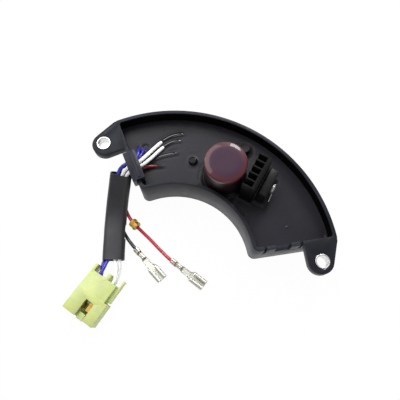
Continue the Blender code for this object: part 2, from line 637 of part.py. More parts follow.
def build_main_capacitor():
    """An aluminium can with its crimped foot, and the shrink film over its side and top."""
    place = Matrix.Translation((*CAPACITOR_PLACE, 0.0))
    wall_inside = CAPACITOR_RADIUS - CAPACITOR_SLEEVE - GAP
    can_top = CAPACITOR_TOP - CAPACITOR_SLEEVE - GAP
    groove = PART_BASE + 3.2 * MM
    can = turned("capacitor_can", [
        (0.0, can_top), (wall_inside - 0.8 * MM, can_top), (wall_inside, can_top - 0.8 * MM),
        (wall_inside, groove + MM), (wall_inside - 0.9 * MM, groove + 0.4 * MM),
        (wall_inside - 0.9 * MM, groove - 0.4 * MM), (wall_inside, groove - MM),
        (wall_inside, PART_BASE), (0.0, PART_BASE)], ALUMINIUM, place)
    half = CAPACITOR_PIN_PITCH / 2
    solder_legs(can, [CAPACITOR_PLACE + Vector((s * half, 0)) for s in (-1, 1)], CAPACITOR_PIN_RADIUS)
    can_side = wall_inside + GAP
    inside_top = can_top + GAP
    turned("capacitor_film", [
        (0.0, CAPACITOR_TOP), (CAPACITOR_RADIUS - MM, CAPACITOR_TOP),
        (CAPACITOR_RADIUS - 0.3 * MM, CAPACITOR_TOP - 0.3 * MM), (CAPACITOR_RADIUS, CAPACITOR_TOP - MM),
        (CAPACITOR_RADIUS, PART_BASE + GAP), (can_side, PART_BASE + GAP), (can_side, inside_top),
        (0.0, inside_top)], BROWN_FILM, place)
    rod("capacitor_pocket", (*CAPACITOR_PLACE, PART_BASE - GAP), CAPACITOR_RADIUS + GAP, CAPACITOR_TOP,
        group=POTTING_POCKETS, sides=40)


def comb_outline():
    """The heat sink's section: a spine with fins towards -X."""
    left, root, right = SINK_SPINE_X - SINK_FIN_LENGTH, SINK_SPINE_X, SINK_SPINE_X + SINK_SPINE
    end = SINK_START_Y + (SINK_FINS - 1) * SINK_FIN_PITCH + SINK_FIN
    points = [(right, SINK_START_Y), (right, end)]
    for fin in reversed(range(SINK_FINS)):
        low = SINK_START_Y + fin * SINK_FIN_PITCH
        points += [(root, low + SINK_FIN)] * (fin < SINK_FINS - 1)
        points += [(left, low + SINK_FIN), (left, low)]
        points += [(root, low)] * (fin > 0)
    return points


def screw_place():
    return TRANSISTOR_START_Y + TRANSISTOR_WIDTH / 2


def build_heat_sink():
    sink = prism("heat_sink", comb_outline(), PART_BASE, SINK_TOP, BLACK_ANODISED)
    length = (SINK_FINS - 1) * SINK_FIN_PITCH + SINK_FIN
    middle_x = SINK_SPINE_X + SINK_SPINE / 2
    pegs = [(middle_x, SINK_START_Y + 2 * MM), (middle_x, SINK_START_Y + length - 2 * MM)]
    solder_legs(sink, pegs, 0.9 * MM)
    hole = rod("sink_screw_hole", (SINK_SPINE_X - MM, screw_place(), SCREW_HEIGHT), SCREW_DIAMETER / 2 + GAP,
               SINK_SPINE + 2 * MM, axis="X", sides=20)
    cut(sink, hole)
    corner = (SINK_SPINE_X - SINK_FIN_LENGTH, SINK_START_Y, PART_BASE)
    potting_pocket("sink", corner, (SINK_SPINE_X + SINK_SPINE, SINK_START_Y + length, SINK_TOP))


def build_transistor():
    """Moulded package, insulating pad and the screw that holds both to the spine."""
    pad_x = SINK_SPINE_X + SINK_SPINE + GAP
    back = pad_x + PAD_THICKNESS + GAP
    front = back + TRANSISTOR_DEPTH
    low_y, high_y = TRANSISTOR_START_Y, TRANSISTOR_START_Y + TRANSISTOR_WIDTH
    top = TRANSISTOR_BOTTOM + TRANSISTOR_HEIGHT
    shaft = SCREW_DIAMETER / 2 + GAP

    transistor = block("power_transistor", (back, low_y, TRANSISTOR_BOTTOM), (front, high_y, top), EPOXY)
    edge = transistor.modifiers.new("edge", "BEVEL")
    edge.width = 0.5 * MM
    edge.segments = 1
    hole_start = (pad_x - MM, screw_place(), SCREW_HEIGHT)
    cut(transistor, rod("package_hole", hole_start, shaft, 10 * MM, axis="X", sides=20))
    legs = [Vector((back + 2.4 * MM, screw_place() + i * TRANSISTOR_LEG_PITCH)) for i in (-1, 0, 1)]
    solder_legs(transistor, legs, 0.6 * MM, base=TRANSISTOR_BOTTOM)

    pad = block("insulating_pad", (pad_x, low_y - MM, TRANSISTOR_BOTTOM),
                (pad_x + PAD_THICKNESS, high_y + MM, top), GREY_PAD)
    cut(pad, rod("pad_hole", hole_start, shaft, 10 * MM, axis="X", sides=20))

    head = front + GAP
    screw_face = head + SCREW_HEAD_HEIGHT
    shank_end = SINK_SPINE_X - GAP
    axis = Matrix.Translation((0, screw_place(), SCREW_HEIGHT)) @ Matrix.Rotation(math.pi / 2, 4, "Y")
    screw = turned("transistor_screw", [
        (0.0, screw_face), (SCREW_HEAD_DIAMETER / 2 - 0.5 * MM, screw_face),
        (SCREW_HEAD_DIAMETER / 2, screw_face - 0.5 * MM), (SCREW_HEAD_DIAMETER / 2, head),
        (SCREW_DIAMETER / 2, head), (SCREW_DIAMETER / 2, shank_end), (0.0, shank_end)],
        PLATED_STEEL, axis, steps=24)
    for angle in (0, math.pi / 2):
        slot = axis @ Matrix.Rotation(angle, 4, "Z")
        half = 0.35 * MM
        reach = SCREW_HEAD_DIAMETER / 2 - 1.1 * MM
        cut(screw, block(f"cross_{angle:.0f}", (-reach, -half, screw_face - 0.8 * MM),
                         (reach, half, screw_face + MM), matrix=slot))
    potting_pocket("package", (pad_x, low_y - MM, PART_BASE), (front, high_y + MM, top))


def build_round_part(name, place, radius, top, dome, finish, leg_pitch):
    """An upright round part on two legs, its top edge rounded by the dome height."""
    rim = radius - dome
    profile = [(0.0, top)]
    profile += [(rim + dome * math.sin(a), top - dome + dome * math.cos(a))
                for a in (math.radians(d) for d in range(0, 91, 15))]
    profile += [(radius, PART_BASE), (0.0, PART_BASE)]
    piece = turned(name, profile, finish, Matrix.Translation((*place, 0.0)), steps=28)
    half = Vector((leg_pitch / 2, 0))
    solder_legs(piece, [place - half, place + half], 0.3 * MM)
    rod(f"{name}_pocket", (*place, PART_BASE - GAP), radius + GAP, top - PART_BASE + 2 * GAP,
        group=POTTING_POCKETS, sides=28)


def build_boxed_part(name, place, size, finish, leg_pitch, rows=(0.0,), turn=0.0, leg_radius=0.35 * MM):
    """A block on two legs a row, in its own pocket of the potting."""
    frame = Matrix.Translation((*place, 0.0)) @ Matrix.Rotation(turn, 4, "Z")
    half = Vector((size[0] / 2, size[1] / 2))
    low, high = (-half.x, -half.y, PART_BASE), (half.x, half.y, PART_BASE + size[2])
    piece = block(name, low, high, finish, frame)
    edge = piece.modifiers.new("edge", "BEVEL")
    edge.width = 0.3 * MM
    edge.segments = 1
    potting_pocket(name, low, high, frame)
    for row in rows:
        for side in (-1, 1):
            spot = Vector((side * leg_pitch / 2, row, 0.0))
            leg_name = f"{name}_leg_{side}_{row:.4f}"
            join(piece, rod(leg_name, (*spot.xy, LEG_END), leg_radius, PART_BASE + MM - LEG_END,
                            matrix=frame, sides=10))
            rod(f"{leg_name}_hole", (*spot.xy, BOARD_BOTTOM - MM), leg_radius + GAP, BOARD_THICKNESS + 2 * MM,
                matrix=frame, group=BOARD_HOLES, sides=10)
            rod(f"{leg_name}_pocket", (*spot.xy, LEG_END - GAP), leg_radius + GAP, PART_BASE - LEG_END,
                matrix=frame, group=POTTING_POCKETS, sides=10)


def build_axial_part(name, place, radius, length, leg_pitch, finish, turn=0.0):
    """A lying round body with a wire leg bent down at each end."""
    frame = Matrix.Translation((*place, 0.0)) @ Matrix.Rotation(turn, 4, "Z")
    wire = 0.4 * MM
    middle = PART_BASE + radius
    piece = rod(name, (-length / 2, 0, middle), radius, length, finish, frame, axis="X", sides=20)
    join(piece, rod(f"{name}_wire", (-leg_pitch / 2 - wire, 0, middle), wire, leg_pitch + 2 * wire,
                    matrix=frame, axis="X", sides=10))
    for side in (-1, 1):
        spot = (side * leg_pitch / 2, 0)
        join(piece, rod(f"{name}_leg_{side}", (*spot, LEG_END), wire, middle - LEG_END, matrix=frame,
                        sides=10))
        rod(f"{name}_hole_{side}", (*spot, BOARD_BOTTOM - MM), wire + GAP, BOARD_THICKNESS + 2 * MM,
            matrix=frame, group=BOARD_HOLES, sides=10)
        rod(f"{name}_leg_pocket_{side}", (*spot, LEG_END - GAP), wire + GAP, PART_BASE - LEG_END,
            matrix=frame, group=POTTING_POCKETS, sides=10)
    reach = leg_pitch / 2 + 2 * wire
    potting_pocket(name, (-reach, -radius, PART_BASE), (reach, radius, middle + radius), frame)


def build_small_parts():
    build_round_part("small_capacitor", ARC_CENTRE + Vector(SMALL_CAPACITOR_SPOT), SMALL_CAPACITOR_RADIUS,
                     SMALL_CAPACITOR_TOP, SMALL_CAPACITOR_EDGE, BROWN_FILM, SMALL_CAPACITOR_PITCH)
    build_round_part("filter_capacitor", ARC_CENTRE + Vector(FILTER_SPOT), FILTER_RADIUS, FILTER_TOP,
                     FILTER_EDGE, EPOXY, FILTER_PITCH)
    build_boxed_part("bridge_rectifier", ARC_CENTRE + Vector(BRIDGE_SPOT), BRIDGE_SIZE, EPOXY, BRIDGE_PITCH,
                     rows=(-BRIDGE_ROW, BRIDGE_ROW), turn=math.radians(40), leg_radius=THICK_LEG)
    build_boxed_part("power_resistor", ARC_CENTRE + Vector(POWER_RESISTOR_SPOT), POWER_RESISTOR_SIZE, CERAMIC,
                     POWER_RESISTOR_PITCH, turn=math.radians(-42), leg_radius=THICK_LEG)
    build_boxed_part("film_capacitor", ARC_CENTRE + Vector(FILM_SPOT), FILM_SIZE, TAN_LACQUER, FILM_PITCH,
                     turn=math.radians(-28))
    build_boxed_part("voltage_trimmer", ARC_CENTRE + Vector(TRIMMER_SPOT), TRIMMER_SIZE, BLUE_PVC,
                     TRIMMER_PITCH, rows=(TRIMMER_ROW,))
    for i, spot in enumerate(DIODE_SPOTS):
        build_axial_part(f"rectifier_diode_{i + 1}", ARC_CENTRE + Vector(spot), DIODE_RADIUS, DIODE_LENGTH,
                         DIODE_PITCH, EPOXY, turn=math.radians(40))
    for i, spot in enumerate(GATE_SPOTS):
        build_axial_part(f"gate_resistor_{i + 1}", ARC_CENTRE + Vector(spot), GATE_RADIUS, GATE_LENGTH,
                         GATE_PITCH, TAN_LACQUER, turn=math.radians(25))
    for i, spot in enumerate(SIGNAL_SPOTS):
        build_boxed_part(f"signal_transistor_{i + 1}", ARC_CENTRE + Vector(spot), SIGNAL_SIZE, EPOXY,
                         SIGNAL_PITCH, turn=math.radians(30))


def build_potting():
    level = sector_outline(INNER_RADIUS + WALL + GAP, OUTER_RADIUS - WALL - GAP, -GAP,
                           CORNER_RADIUS - WALL, BACK_CORNER_RADIUS)
    potting = prism("potting_compound", level, FLOOR + GAP, POTTING_LEVEL, POTTING)
    for i, place in enumerate(post_places()):
        rod(f"post_pocket_{i}", (*place, FLOOR), POST_RADIUS + GAP, POST_HEIGHT + GAP,
            group=POTTING_POCKETS, sides=20)
    cut(potting, POTTING_POCKETS)


# Leads and what is on them.
def build_lead(name, route, finish):
    """A lead, and the room for it in the potting down to the board's."""
    smooth(add(name, lead_mesh(route, LEAD_DIAMETER), finish))
    clear = next(i for i, point in enumerate(route) if point[2] * MM > POTTING_LEVEL + LEAD_DIAMETER)
    x, y, z = route[0]
    pocket = [(x, y, z - 0.5)] + route[:clear + 1]
    add(f"{name}_pocket", lead_mesh(pocket, LEAD_DIAMETER + 2 * GAP), None, group=POTTING_POCKETS)


def build_leads():
    build_lead("blue_lead_a", BLUE_A_HEAD + sleeve_lane(-1.35, -3.0, 1) + BLUE_A_TAIL, BLUE_PVC)
    build_lead("blue_lead_b", BLUE_B_HEAD + sleeve_lane(-1.35, -3.2, -1) + BLUE_B_TAIL, BLUE_PVC)
    build_lead("white_lead_a", WHITE_A_HEAD + sleeve_lane(1.05, 0.9, 1) + WHITE_A_TAIL, WHITE_PVC)
    build_lead("white_lead_b", WHITE_B_HEAD + sleeve_lane(3.4, 3.3, 1) + WHITE_B_TAIL, WHITE_PVC)
    build_lead("black_lead", BLACK_HEAD + sleeve_lane(1.05, 1.6, -1, last=5) + BLACK_TAIL, BLACK_PVC)
    build_lead("red_lead", RED_HEAD + sleeve_lane(3.4, 3.4, -1, last=5) + RED_TAIL, RED_PVC)


def stadium(width, height, count=8):
    """A flat section with round ends."""
    radius, reach = height / 2, (width - height) / 2
    right = [(reach + radius * math.cos(a), radius * math.sin(a))
             for a in (math.pi * (i / count - 0.5) for i in range(count + 1))]
    return right + [(-x, -y) for x, y in right]


def build_sleeve():
    """The flattened sleeve: its section swept along its route, with a slit for each lead that leaves it."""
    section = bpy.data.curves.new("sleeve_section", "CURVE")
    section.dimensions = "2D"
    add_spline(section, [(x, y, 0.0) for x, y in stadium(SLEEVE_WIDTH, SLEEVE_THICKNESS)], True)
    holder = bpy.data.objects.new("sleeve_section", section)
    CUTTERS.objects.link(holder)
    holder.hide_render = True
    path = bpy.data.curves.new("sleeve_path", "CURVE")
    path.dimensions = "3D"
    path.twist_mode = "Z_UP"
    path.bevel_mode = "OBJECT"
    path.bevel_object = holder
    path.render_resolution_u = 0
    add_spline(path, smooth_points(SLEEVE_ROUTE, 5 * MM), False)
    sleeve = add("wire_sleeve", mesh_from_curve(path), SLEEVE_VINYL)
    wall = sleeve.modifiers.new("wall", "SOLIDIFY")
    wall.thickness = SLEEVE_WALL
    wall.offset = -1.0
    wall.use_even_offset = True
    half = SLEEVE_SLIT / 2
    slits = (("red", (-39.4, -22.2), -63, 5.7), ("black", (-33.7, -33.5), -61, 4.4))
    for name, place, turn, top in slits:
        frame = Matrix.Translation((*Vector(place) * MM, 0)) @ Matrix.Rotation(math.radians(turn), 4, "Z")
        cut(sleeve, block(f"{name}_slit", (-half, -3.2 * MM, -MM), (half, 4.6 * MM, top * MM), matrix=frame))
    smooth(sleeve)


def build_marker():
    """A short collar on the red lead."""
    place = Vector(RED_TAIL[4]) * MM
    along = Vector(RED_TAIL[5]) - Vector(RED_TAIL[3])
    along.z = 0.0
    place.z = MARKER_RADIUS
    frame = Matrix.Translation(place) @ along.to_track_quat("Z", "Y").to_matrix().to_4x4()
    half, edge = MARKER_LENGTH / 2, 0.5 * MM
    marker = turned("marker_ring", [
        (0.0, half), (MARKER_RADIUS - edge, half), (MARKER_RADIUS, half - edge), (MARKER_RADIUS, edge - half),
        (MARKER_RADIUS - edge, -half), (0.0, -half)], AMBER, frame, steps=24)
    cut(marker, add("marker_bore", lead_mesh(RED_TAIL[1:8], LEAD_DIAMETER + 2 * GAP), None))


def build_spade(name, place, turn):
    """A crimp terminal: insulation grip, wire grip, neck and rolled receptacle."""
    frame = Matrix.Translation(place) @ Matrix.Rotation(turn, 4, "Z")
    upright = frame @ Matrix(((0, 0, 1, 0), (1, 0, 0, 0), (0, 1, 0, 0), (0, 0, 0, 1)))
    grip, sheet = SPADE_GRIP_RADIUS, SPADE_SHEET
    neck_start = SPADE_INSULATION_GRIP + SPADE_GRIP
    barrel_start = neck_start + SPADE_NECK
    end = barrel_start + SPADE_BARREL
    half, top, mouth = SPADE_WIDTH / 2, SPADE_HEIGHT, 0.6 * MM
    edge = 0.9 * MM
    rolled = [(-half + edge, 0), (half - edge, 0), (half, edge), (half, top - edge), (half - edge, top),
              (mouth, top), (mouth, top - sheet), (half - sheet, top - sheet), (half - sheet, sheet),
              (sheet - half, sheet), (sheet - half, top - sheet), (-mouth, top - sheet), (-mouth, top),
              (edge - half, top), (-half, top - edge), (-half, edge)]
    spade = prism(name, rolled, barrel_start, end, TIN, upright)
    neck_bottom, neck_top = 0.1 * MM, sheet - 0.1 * MM
    join(spade, block(f"{name}_neck", (SPADE_INSULATION_GRIP, -1.4 * MM, neck_bottom),
                      (barrel_start + MM, 1.4 * MM, neck_top), matrix=frame))
    join(spade, rod(f"{name}_wire_grip", (SPADE_INSULATION_GRIP + 0.8 * MM, 0, 1.35 * MM), 1.35 * MM,
                    SPADE_GRIP - 0.6 * MM, matrix=frame, axis="X", sides=20))
    bore = LEAD_DIAMETER / 2 + GAP
    lengthwise = frame @ Matrix.Translation((0, 0, grip)) @ Matrix.Rotation(math.pi / 2, 4, "Y")
    collar = [(grip, SPADE_INSULATION_GRIP + 0.4 * MM), (grip, 0.0), (bore, 0.0),
              (bore, SPADE_INSULATION_GRIP + 0.4 * MM)]
    join(spade, turned(f"{name}_grip", collar, matrix=lengthwise, steps=20))


def build_plug():
    """The nylon plug: shroud, rear body, wire cheeks and side latch."""
    frame = Matrix.Translation(PLUG_FRONT) @ Matrix.Rotation(PLUG_TURN, 4, "Z")
    half, top, wall = PLUG_WIDTH / 2, PLUG_HEIGHT, PLUG_WALL
    step = 0.5 * MM
    rear_left = PLUG_REAR_INSET - half
    rear_right = rear_left + PLUG_REAR_WIDTH

    plug = block("plug_housing", (-half, 0, 0), (half, PLUG_SHROUD, top), PLUG_NYLON, frame)
    join(plug, block("plug_rear", (rear_left, PLUG_SHROUD - MM, step), (rear_right, PLUG_LENGTH, top - step),
                     matrix=frame))
    join(plug, block("left_cheek", (rear_left, PLUG_LENGTH - MM, step),
                     (rear_left + 1.6 * MM, PLUG_LENGTH + 3.8 * MM, top - step), matrix=frame))
    join(plug, block("middle_rib", (-0.2 * MM, PLUG_LENGTH - MM, step),
                     (1.8 * MM, PLUG_LENGTH + 3.2 * MM, top - step), matrix=frame))
    arm, arm_start, arm_end = half - MM, PLUG_SHROUD + MM, PLUG_LENGTH + 4.2 * MM
    join(plug, block("latch_foot", (rear_right - MM, arm_start + GAP, 3.2 * MM),
                     (arm + 0.8 * MM, arm_start + 2 * MM, 6.8 * MM), matrix=frame))
    join(plug, block("latch_arm", (arm, arm_start, 3 * MM), (arm + MM, arm_end, 7 * MM), matrix=frame))
    join(plug, block("front_lip", (-4.8 * MM, -0.8 * MM, 0), (3.4 * MM, MM, wall), matrix=frame))

    cut(plug, block("mating_cavity", (-half + wall, -2 * MM, wall), (half - wall, PLUG_CAVITY, top - wall),
                    matrix=frame))
    cut(plug, block("key_slot", (-1.5 * MM, -2 * MM, top - 2 * wall), (3.5 * MM, 9.6 * MM, top + MM),
                    matrix=frame))
    for column in (-1, 1):
        for row, height in enumerate(PLUG_ROWS):
            build_contact(plug, frame, column, row, height)


def build_contact(plug, frame, column, row, height):
    """One brass contact, and the cell that holds it."""
    x = column * PLUG_COLUMN
    wide, thick = CONTACT_WIDTH / 2, CONTACT_THICKNESS / 2
    back = CONTACT_FRONT + CONTACT_LENGTH
    tail, tail_end = 1.1 * MM, back + CONTACT_TAIL
    name = f"plug_contact_{'left' if column < 0 else 'right'}_{('lower', 'upper')[row]}"
    cut(plug, block(f"{name}_cell", (x - wide - GAP, PLUG_CAVITY - MM, height - thick - GAP),
                    (x + wide + GAP, back + GAP, height + thick + GAP), matrix=frame))
    bore = LEAD_DIAMETER / 2 + GAP + 0.2 * MM
    cut(plug, block(f"{name}_way", (x - bore, back - MM, height - bore),
                    (x + bore, PLUG_LENGTH + MM, height + bore), matrix=frame))
    contact = block(name, (x - wide, CONTACT_FRONT, height - thick), (x + wide, back, height + thick), BRASS,
                    frame)
    join(contact, block(f"{name}_tail", (x - tail, back - MM, height - tail * 0.8),
                        (x + tail, tail_end, height + tail * 0.8), matrix=frame))
    slot = 0.45 * MM
    cut(contact, block(f"{name}_mouth", (x - wide + 0.5 * MM, CONTACT_FRONT - MM, height - slot),
                       (x + wide - 0.5 * MM, back - MM, height + slot), matrix=frame))


build_housing()
build_bush("left_bush", -1)
build_bush("right_bush", 1)
build_wire_clamp()
build_main_capacitor()
build_heat_sink()
build_transistor()
build_small_parts()
build_leads()
build_board()
build_potting()
build_sleeve()
build_marker()
build_spade("red_lead_spade", RED_SPADE_PLACE, RED_SPADE_TURN)
build_spade("black_lead_spade", BLACK_SPADE_PLACE, BLACK_SPADE_TURN)
build_plug()
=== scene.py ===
# %% [markdown]
# # A generator's voltage regulator, dressed for the studio
# The real object is a C-shaped plastic tray that bolts beside an alternator. Its circuit board lies under poured
# black resin, with only the tall parts standing out, and six wires leave one end for a plug and two terminals.
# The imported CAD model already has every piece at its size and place. This script keeps that frame, rounds
# the edges that a mould would round, and gives each piece the surface that the light needs.

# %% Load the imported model
import math
from contextlib import contextmanager

import bmesh
import bpy
import numpy as np
from mathutils import Matrix, Vector
from mathutils.kdtree import KDTree


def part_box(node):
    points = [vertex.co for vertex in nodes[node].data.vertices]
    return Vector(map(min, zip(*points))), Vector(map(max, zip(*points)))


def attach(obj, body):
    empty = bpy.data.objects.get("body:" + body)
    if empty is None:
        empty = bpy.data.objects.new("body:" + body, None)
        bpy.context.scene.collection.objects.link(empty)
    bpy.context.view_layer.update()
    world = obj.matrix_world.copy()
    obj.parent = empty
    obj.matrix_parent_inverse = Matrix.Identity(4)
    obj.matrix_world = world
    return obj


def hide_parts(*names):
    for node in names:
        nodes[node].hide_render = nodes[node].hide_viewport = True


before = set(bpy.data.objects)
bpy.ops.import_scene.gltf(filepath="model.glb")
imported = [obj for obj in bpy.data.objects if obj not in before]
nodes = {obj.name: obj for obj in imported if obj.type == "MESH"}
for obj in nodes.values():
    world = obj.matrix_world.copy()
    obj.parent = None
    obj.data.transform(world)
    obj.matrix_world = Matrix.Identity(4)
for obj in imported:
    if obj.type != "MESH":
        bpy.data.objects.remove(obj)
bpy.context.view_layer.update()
MM = 0.001

# %% [markdown]
# ## The camera
# The regulator lay flat and was photographed from above, a little from its open side. A camera that looks straight
# down has no rotation at all in Blender, so the three turns below are easy to read: the heading about the
# vertical, the lean off the vertical, and a slight roll. They came from matching both bolt holes, both arcs and
# the plug in the photograph, and so did the lens.

# %% Camera
HEADING = math.radians(28.509)
LEAN = math.radians(17.616)
ROLL = math.radians(1.084)
lens = bpy.data.cameras.new("camera")
lens.sensor_width = 36.0
lens.lens = 37.60
lens.clip_start = 0.01
camera = bpy.data.objects.new("camera", lens)
bpy.context.scene.collection.objects.link(camera)
view_turn = Matrix.Rotation(HEADING, 4, "Z") @ Matrix.Rotation(LEAN, 4, "X") @ Matrix.Rotation(ROLL, 4, "Z")
camera.matrix_world = Matrix.Translation((0.02713, -0.07666, 0.22533)) @ view_turn
bpy.context.scene.camera = camera
bpy.context.scene.view_settings.view_transform = "Standard"
print("camera looks along", [round(v, 3) for v in view_turn @ Vector((0, 0, -1))])

# %% [markdown]
# ## Arithmetic for materials
# A material is a network of nodes, which is slow to read when each sum takes a node and two links. The class
# *Signal* wraps one output, so `1 - mask` or `grain * 0.2 + 0.4` adds the Math nodes by itself. *Finish* wraps one
# material: *node* adds any other node from its type, its settings and the values or links of its sockets.
# Every pattern reads Object coordinates. All pieces sit at the origin, so a size in these patterns is in metres.

# %% Signals and finishes
class Signal:
    """One output socket, with the arithmetic that materials use."""

    def __init__(self, finish, socket):
        self.finish = finish
        self.socket = socket

    def sum(self, operation, first, second):
        return self.finish.node("Math", {"operation": operation}, {0: first, 1: second})

    def __add__(self, other):
        return self.sum("ADD", self, other)

    def __rsub__(self, other):
        return self.sum("SUBTRACT", other, self)

    def __mul__(self, other):
        return self.sum("MULTIPLY", self, other)


class Finish:
    """A material on one Principled shader."""

    def __init__(self, name, colour, roughness, metallic=0.0, coat=0.0):
        self.material = bpy.data.materials.new(name)
        self.material.use_nodes = True
        self.tree = self.material.node_tree
        self.shader = self.tree.nodes["Principled BSDF"]
        self.colour = (*colour, 1.0)
        self.set("Base Color", self.colour)
        self.set("Roughness", roughness)
        self.set("Metallic", metallic)
        self.set("Coat Weight", coat)

    def set(self, name, value):
        self.feed(self.shader.inputs[name], value)

    def feed(self, socket, value):
        if isinstance(value, Signal):
            self.tree.links.new(value.socket, socket)
        else:
            socket.default_value = value

    def node(self, kind, settings=None, values=None, output=0):
        made = self.tree.nodes.new("ShaderNode" + kind)
        for name, value in (settings or {}).items():
            setattr(made, name, value)
        for place, value in (values or {}).items():
            self.feed(made.inputs[place], value)
        return Signal(self, made.outputs[output])

    def grain(self, size, detail=2.0, stretch=(1.0, 1.0, 1.0)):
        """Soft noise from 0 to 1 with features of one size, in metres."""
        place = self.node("TexCoord", output="Object")
        if stretch != (1.0, 1.0, 1.0):
            place = self.node("Mapping", None, {"Vector": place, "Scale": stretch})
        return self.node("TexNoise", None, {"Vector": place, "Scale": 1.0 / size, "Detail": detail})

    def window(self, signal, low, high):
        """0 below low, 1 above high, and a smooth step between."""
        return self.node("MapRange", {"interpolation_type": "SMOOTHSTEP"},
                         {"Value": signal, "From Min": low, "From Max": high})

    def mix(self, mask, one, other):
        """One colour where the mask is 0, the other where it is 1."""
        return self.node("Mix", {"data_type": "RGBA"}, {0: mask, 6: one, 7: other}, output=2)

    def away_from(self, place):
        """The distance from one point, in metres."""
        return self.node("VectorMath", {"operation": "DISTANCE"},
                         {0: self.node("TexCoord", output="Object"), 1: place}, output="Value")

    def raise_surface(self, height, depth):
        """Relief from a height signal, depth metres high."""
        bump = self.node("Bump", None, {"Height": height, "Distance": depth, "Strength": 1.0})
        self.set("Normal", bump)

    def tint(self, mask, other):
        """The finish's own colour, turned to another one by a mask."""
        self.base = self.mix(mask, self.colour, (*other, 1.0))
        self.set("Base Color", self.base)

    def mottle(self, size, detail, low, high, other):
        """Patches of another colour, where the grain rises from low to high."""
        self.tint(self.window(self.grain(size, detail), low, high), other)

    def roughen(self, size, detail, span, least):
        """Roughness that drifts with the grain, over a span above its least value."""
        self.set("Roughness", self.grain(size, detail) * span + least)


def paint(piece, finish):
    """Gives a piece one finish all over."""
    piece.data.materials.clear()
    piece.data.materials.append(finish.material)


# %% [markdown]
# ## The studio
# A white sheet lies under the part. It is a diffuse floor for the light, and for the camera and for reflections it
# is mixed with plain white, so that it looks like paper in a light box and still keeps a faint shadow. Four soft
# boxes light the part. The broad one hangs over its left end, where the resin shows a grey sheen that fades to the
# right. A narrow one behind the part puts the white patch on the capacitor's rim. A weak one in front and a small
# one at the left only fill the shadows.

# %% Floor, soft boxes and sky
def seen_directly(finish):
    """1 for camera, mirror and glass rays, 0 for the rays that carry light."""
    camera_ray, glossy_ray, transmission_ray = (
        finish.node("LightPath", output=name) for name in ("Is Camera Ray", "Is Glossy Ray", "Is Transmission Ray"))
    return finish.window(camera_ray + glossy_ray + transmission_ray, 0.0, 1.0)


WHITE_SHARE = 0.97
SKY_STRENGTH = 0.36

bpy.ops.mesh.primitive_plane_add(size=6.0, location=(0.0, 0.0, -0.0002))
floor = bpy.context.active_object
floor.name = "floor"
sheet = Finish("white sheet", (0.93, 0.93, 0.93), 0.9)
glow = sheet.node("Emission", None, {"Color": (1.0, 1.0, 1.0, 1.0), "Strength": 1.0})
mixed = sheet.node("MixShader", None, {
    0: seen_directly(sheet) * WHITE_SHARE, 1: Signal(sheet, sheet.shader.outputs[0]), 2: glow})
sheet.feed(sheet.tree.nodes["Material Output"].inputs["Surface"], mixed)
paint(floor, sheet)

world = bpy.data.worlds.new("sky")
world.use_nodes = True
bpy.context.scene.world = world
sky = world.node_tree
background = sky.nodes["Background"]
background.inputs["Color"].default_value = (1.0, 1.0, 1.0, 1.0)
path = sky.nodes.new("ShaderNodeLightPath")
level = sky.nodes.new("ShaderNodeMapRange")
level.inputs["To Min"].default_value = SKY_STRENGTH
level.inputs["To Max"].default_value = 1.0
sky.links.new(path.outputs["Is Camera Ray"], level.inputs["Value"])
sky.links.new(level.outputs["Result"], background.inputs["Strength"])


def soft_box(name, place, size, power):
    lamp = bpy.data.lights.new(name, "AREA")
    lamp.shape = "RECTANGLE"
    lamp.size, lamp.size_y = size
    lamp.energy = power
    box = bpy.data.objects.new(name, lamp)
    bpy.context.scene.collection.objects.link(box)
    box.location = place
    box.rotation_euler = (Vector((0.0, -0.01, 0.0)) - Vector(place)).to_track_quat("-Z", "Y").to_euler()


soft_box("broad_box", (-0.37, 0.15, 0.60), (0.60, 0.50), 3.3)
soft_box("rim_box", (-0.09, 0.57, 0.42), (0.15, 0.36), 3.5)
soft_box("front_box", (0.45, -0.60, 0.60), (0.50, 0.50), 0.9)
soft_box("left_box", (-0.60, 0.05, 0.30), (0.12, 0.12), 0.8)
print("studio: floor, sky and 4 soft boxes")
